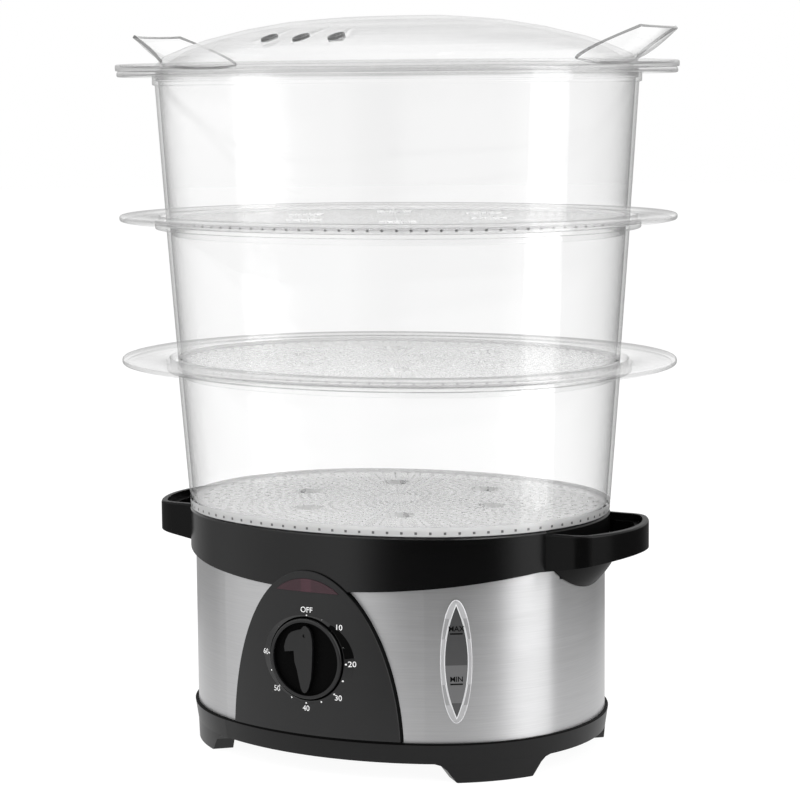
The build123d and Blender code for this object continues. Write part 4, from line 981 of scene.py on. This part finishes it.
def addWing(lidBm, side):  # scoop-shaped lifting ear at one end of the lid
    bm = bmesh.new()
    bmesh.ops.create_grid(bm, x_segments=wing["grid"][0], y_segments=wing["grid"][1], size=0.5)
    bend = wing["bend"]
    for v in bm.verts:
        u, t = v.co.x + 0.5, v.co.y * 2
        if u < bend:
            half = wing["halfRoot"] + (wing["halfMiddle"] - wing["halfRoot"]) * u / bend
        else:
            half = wing["halfMiddle"] + (wing["halfTip"] - wing["halfMiddle"]) * (u - bend) / (1 - bend)
        bowl = wing["low"] + wing["bowlRise"] * u * u
        rim = wing["low"] + wing["rimLift"] + wing["rimRise"] * u ** wing["rimPower"]
        x = wing["root"] + (wing["tip"] - wing["root"]) * u - wing["tipRound"] * t * t * u
        v.co = Vector((side * x, t * half, bowl + (rim - bowl) * abs(t) ** wing["sidePower"])) * mm
    turnOut(bm)
    for face in bm.faces:
        face.smooth = True
    made = meshObject("lidWing", bm, lidPlastics)
    shell = made.modifiers.new("thickness", "SOLIDIFY")
    # painted shade on the wing's cut edges
    shell.material_offset_rim = lidPlastics.index(paintedShadeClear)
    shell.thickness = wing["thickness"] * mm
    shell.offset = 0
    soft = made.modifiers.new("edge", "BEVEL")
    soft.width = wing["edge"] * mm
    soft.segments = 2
    bakeModifiers(made)
    lidBm.from_mesh(made.data)
    bpy.data.objects.remove(made)


level = {"textSize": 4.1, "bold": 0.05, "lift": 0.08, "depth": 0.12, "underline": (7.0, 0.8),
         "marks": (("MAX", 87.6, 84.9), ("MIN", 59.3, 56.6))}
letterForm = {"depth": 0.06, "steps": 4}


def addText(bm, body, size, place, bold=0.0):
    curve = bpy.data.curves.new("letters", "FONT")
    curve.body = body
    curve.size = size * mm
    curve.align_x = curve.align_y = "CENTER"
    curve.extrude = letterForm["depth"] * mm
    curve.offset = bold * mm
    curve.resolution_u = letterForm["steps"]
    letters = newObject("letters", curve)
    mesh = finalMesh(letters)
    bpy.data.objects.remove(letters)
    mesh.transform(place)
    bm.from_mesh(mesh)
    bpy.data.meshes.remove(mesh)


def dialFace(x, z, lift):  # a point of the control panel's front, on the dial's cone or beyond it
    reach = math.hypot(x, z - dial["z"] * mm) - dial["dish"] * mm
    cone = frontY(0, dial["face"] * mm) - dial["crown"] * mm + reach * dial["slope"]
    return Vector((x, min(frontY(x, dial["face"] * mm), cone) - lift, z))


def dialPlace(step, radius):  # where a mark lies before it is bent to the panel
    angle = math.radians(step * dial["step"])
    return moved(radius * math.sin(angle) * mm, (radius * math.cos(angle) + dial["z"]) * mm, 0)


def makeDialMarks():
    bm = bmesh.new()
    for step in range(dial["dots"]):
        bmesh.ops.create_cone(bm, cap_ends=True, segments=dial["dotSides"], radius1=dial["dotSize"] * mm,
                              radius2=dial["dotSize"] * mm, depth=dial["dotDepth"] * mm,
                              matrix=dialPlace(step, dial["dotRadius"]))
        if step in dial["labels"]:
            addText(bm, dial["labels"][step], dial["textSize"], dialPlace(step, dial["labelRadius"]))
    for v in bm.verts:
        v.co = dialFace(v.co.x, v.co.y, v.co.z + dial["lift"] * mm)
    turnOut(bm)
    made = meshObject("dialMarks", bm, [whiteInk])
    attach(made, "base")


def makeLevelMarks():
    end, out = windowPlace()
    radius = windowRadius()
    bm = bmesh.new()
    for word, textZ, lineZ in level["marks"]:
        addText(bm, word, level["textSize"], moved(0, textZ * mm, 0), level["bold"])
        size = Vector((*level["underline"], level["depth"])) * mm
        addBlock(bm, moved(0, lineZ * mm, 0), size)
    lift = (window["proud"] + level["lift"]) * mm
    for v in bm.verts:
        turn = Matrix.Rotation(v.co.x / radius, 3, "Z")
        v.co = end + turn @ out * (radius + v.co.z + lift) + Vector((0, 0, v.co.y))
    turnOut(bm)
    made = meshObject("levelMarks", bm, [blackInk])
    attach(made, "base")


makeCamera()
for name, (place, size, power) in lamps.items():
    makeLamp(name, place, size, power)
makeStudio()
clearPieces = makeStrip()
makeFloor()
print("steamer: camera, lamps and floor")
finishNodes()
print("steamer: finishes on the CAD parts")
for tier in range(3):
    makeBasket(tier)
    print("steamer: basket", tier + 1)
makeLid()
print("steamer: lid")
makeDialMarks()
makeWindowPlate()
makeLevelMarks()
print("steamer: dial and level marks")
cycles = bpy.context.scene.cycles
cycles.transparent_max_bounces = 64
cycles.max_bounces = 16
cycles.glossy_bounces = 8
bpy.context.scene.view_settings.view_transform = "Standard"
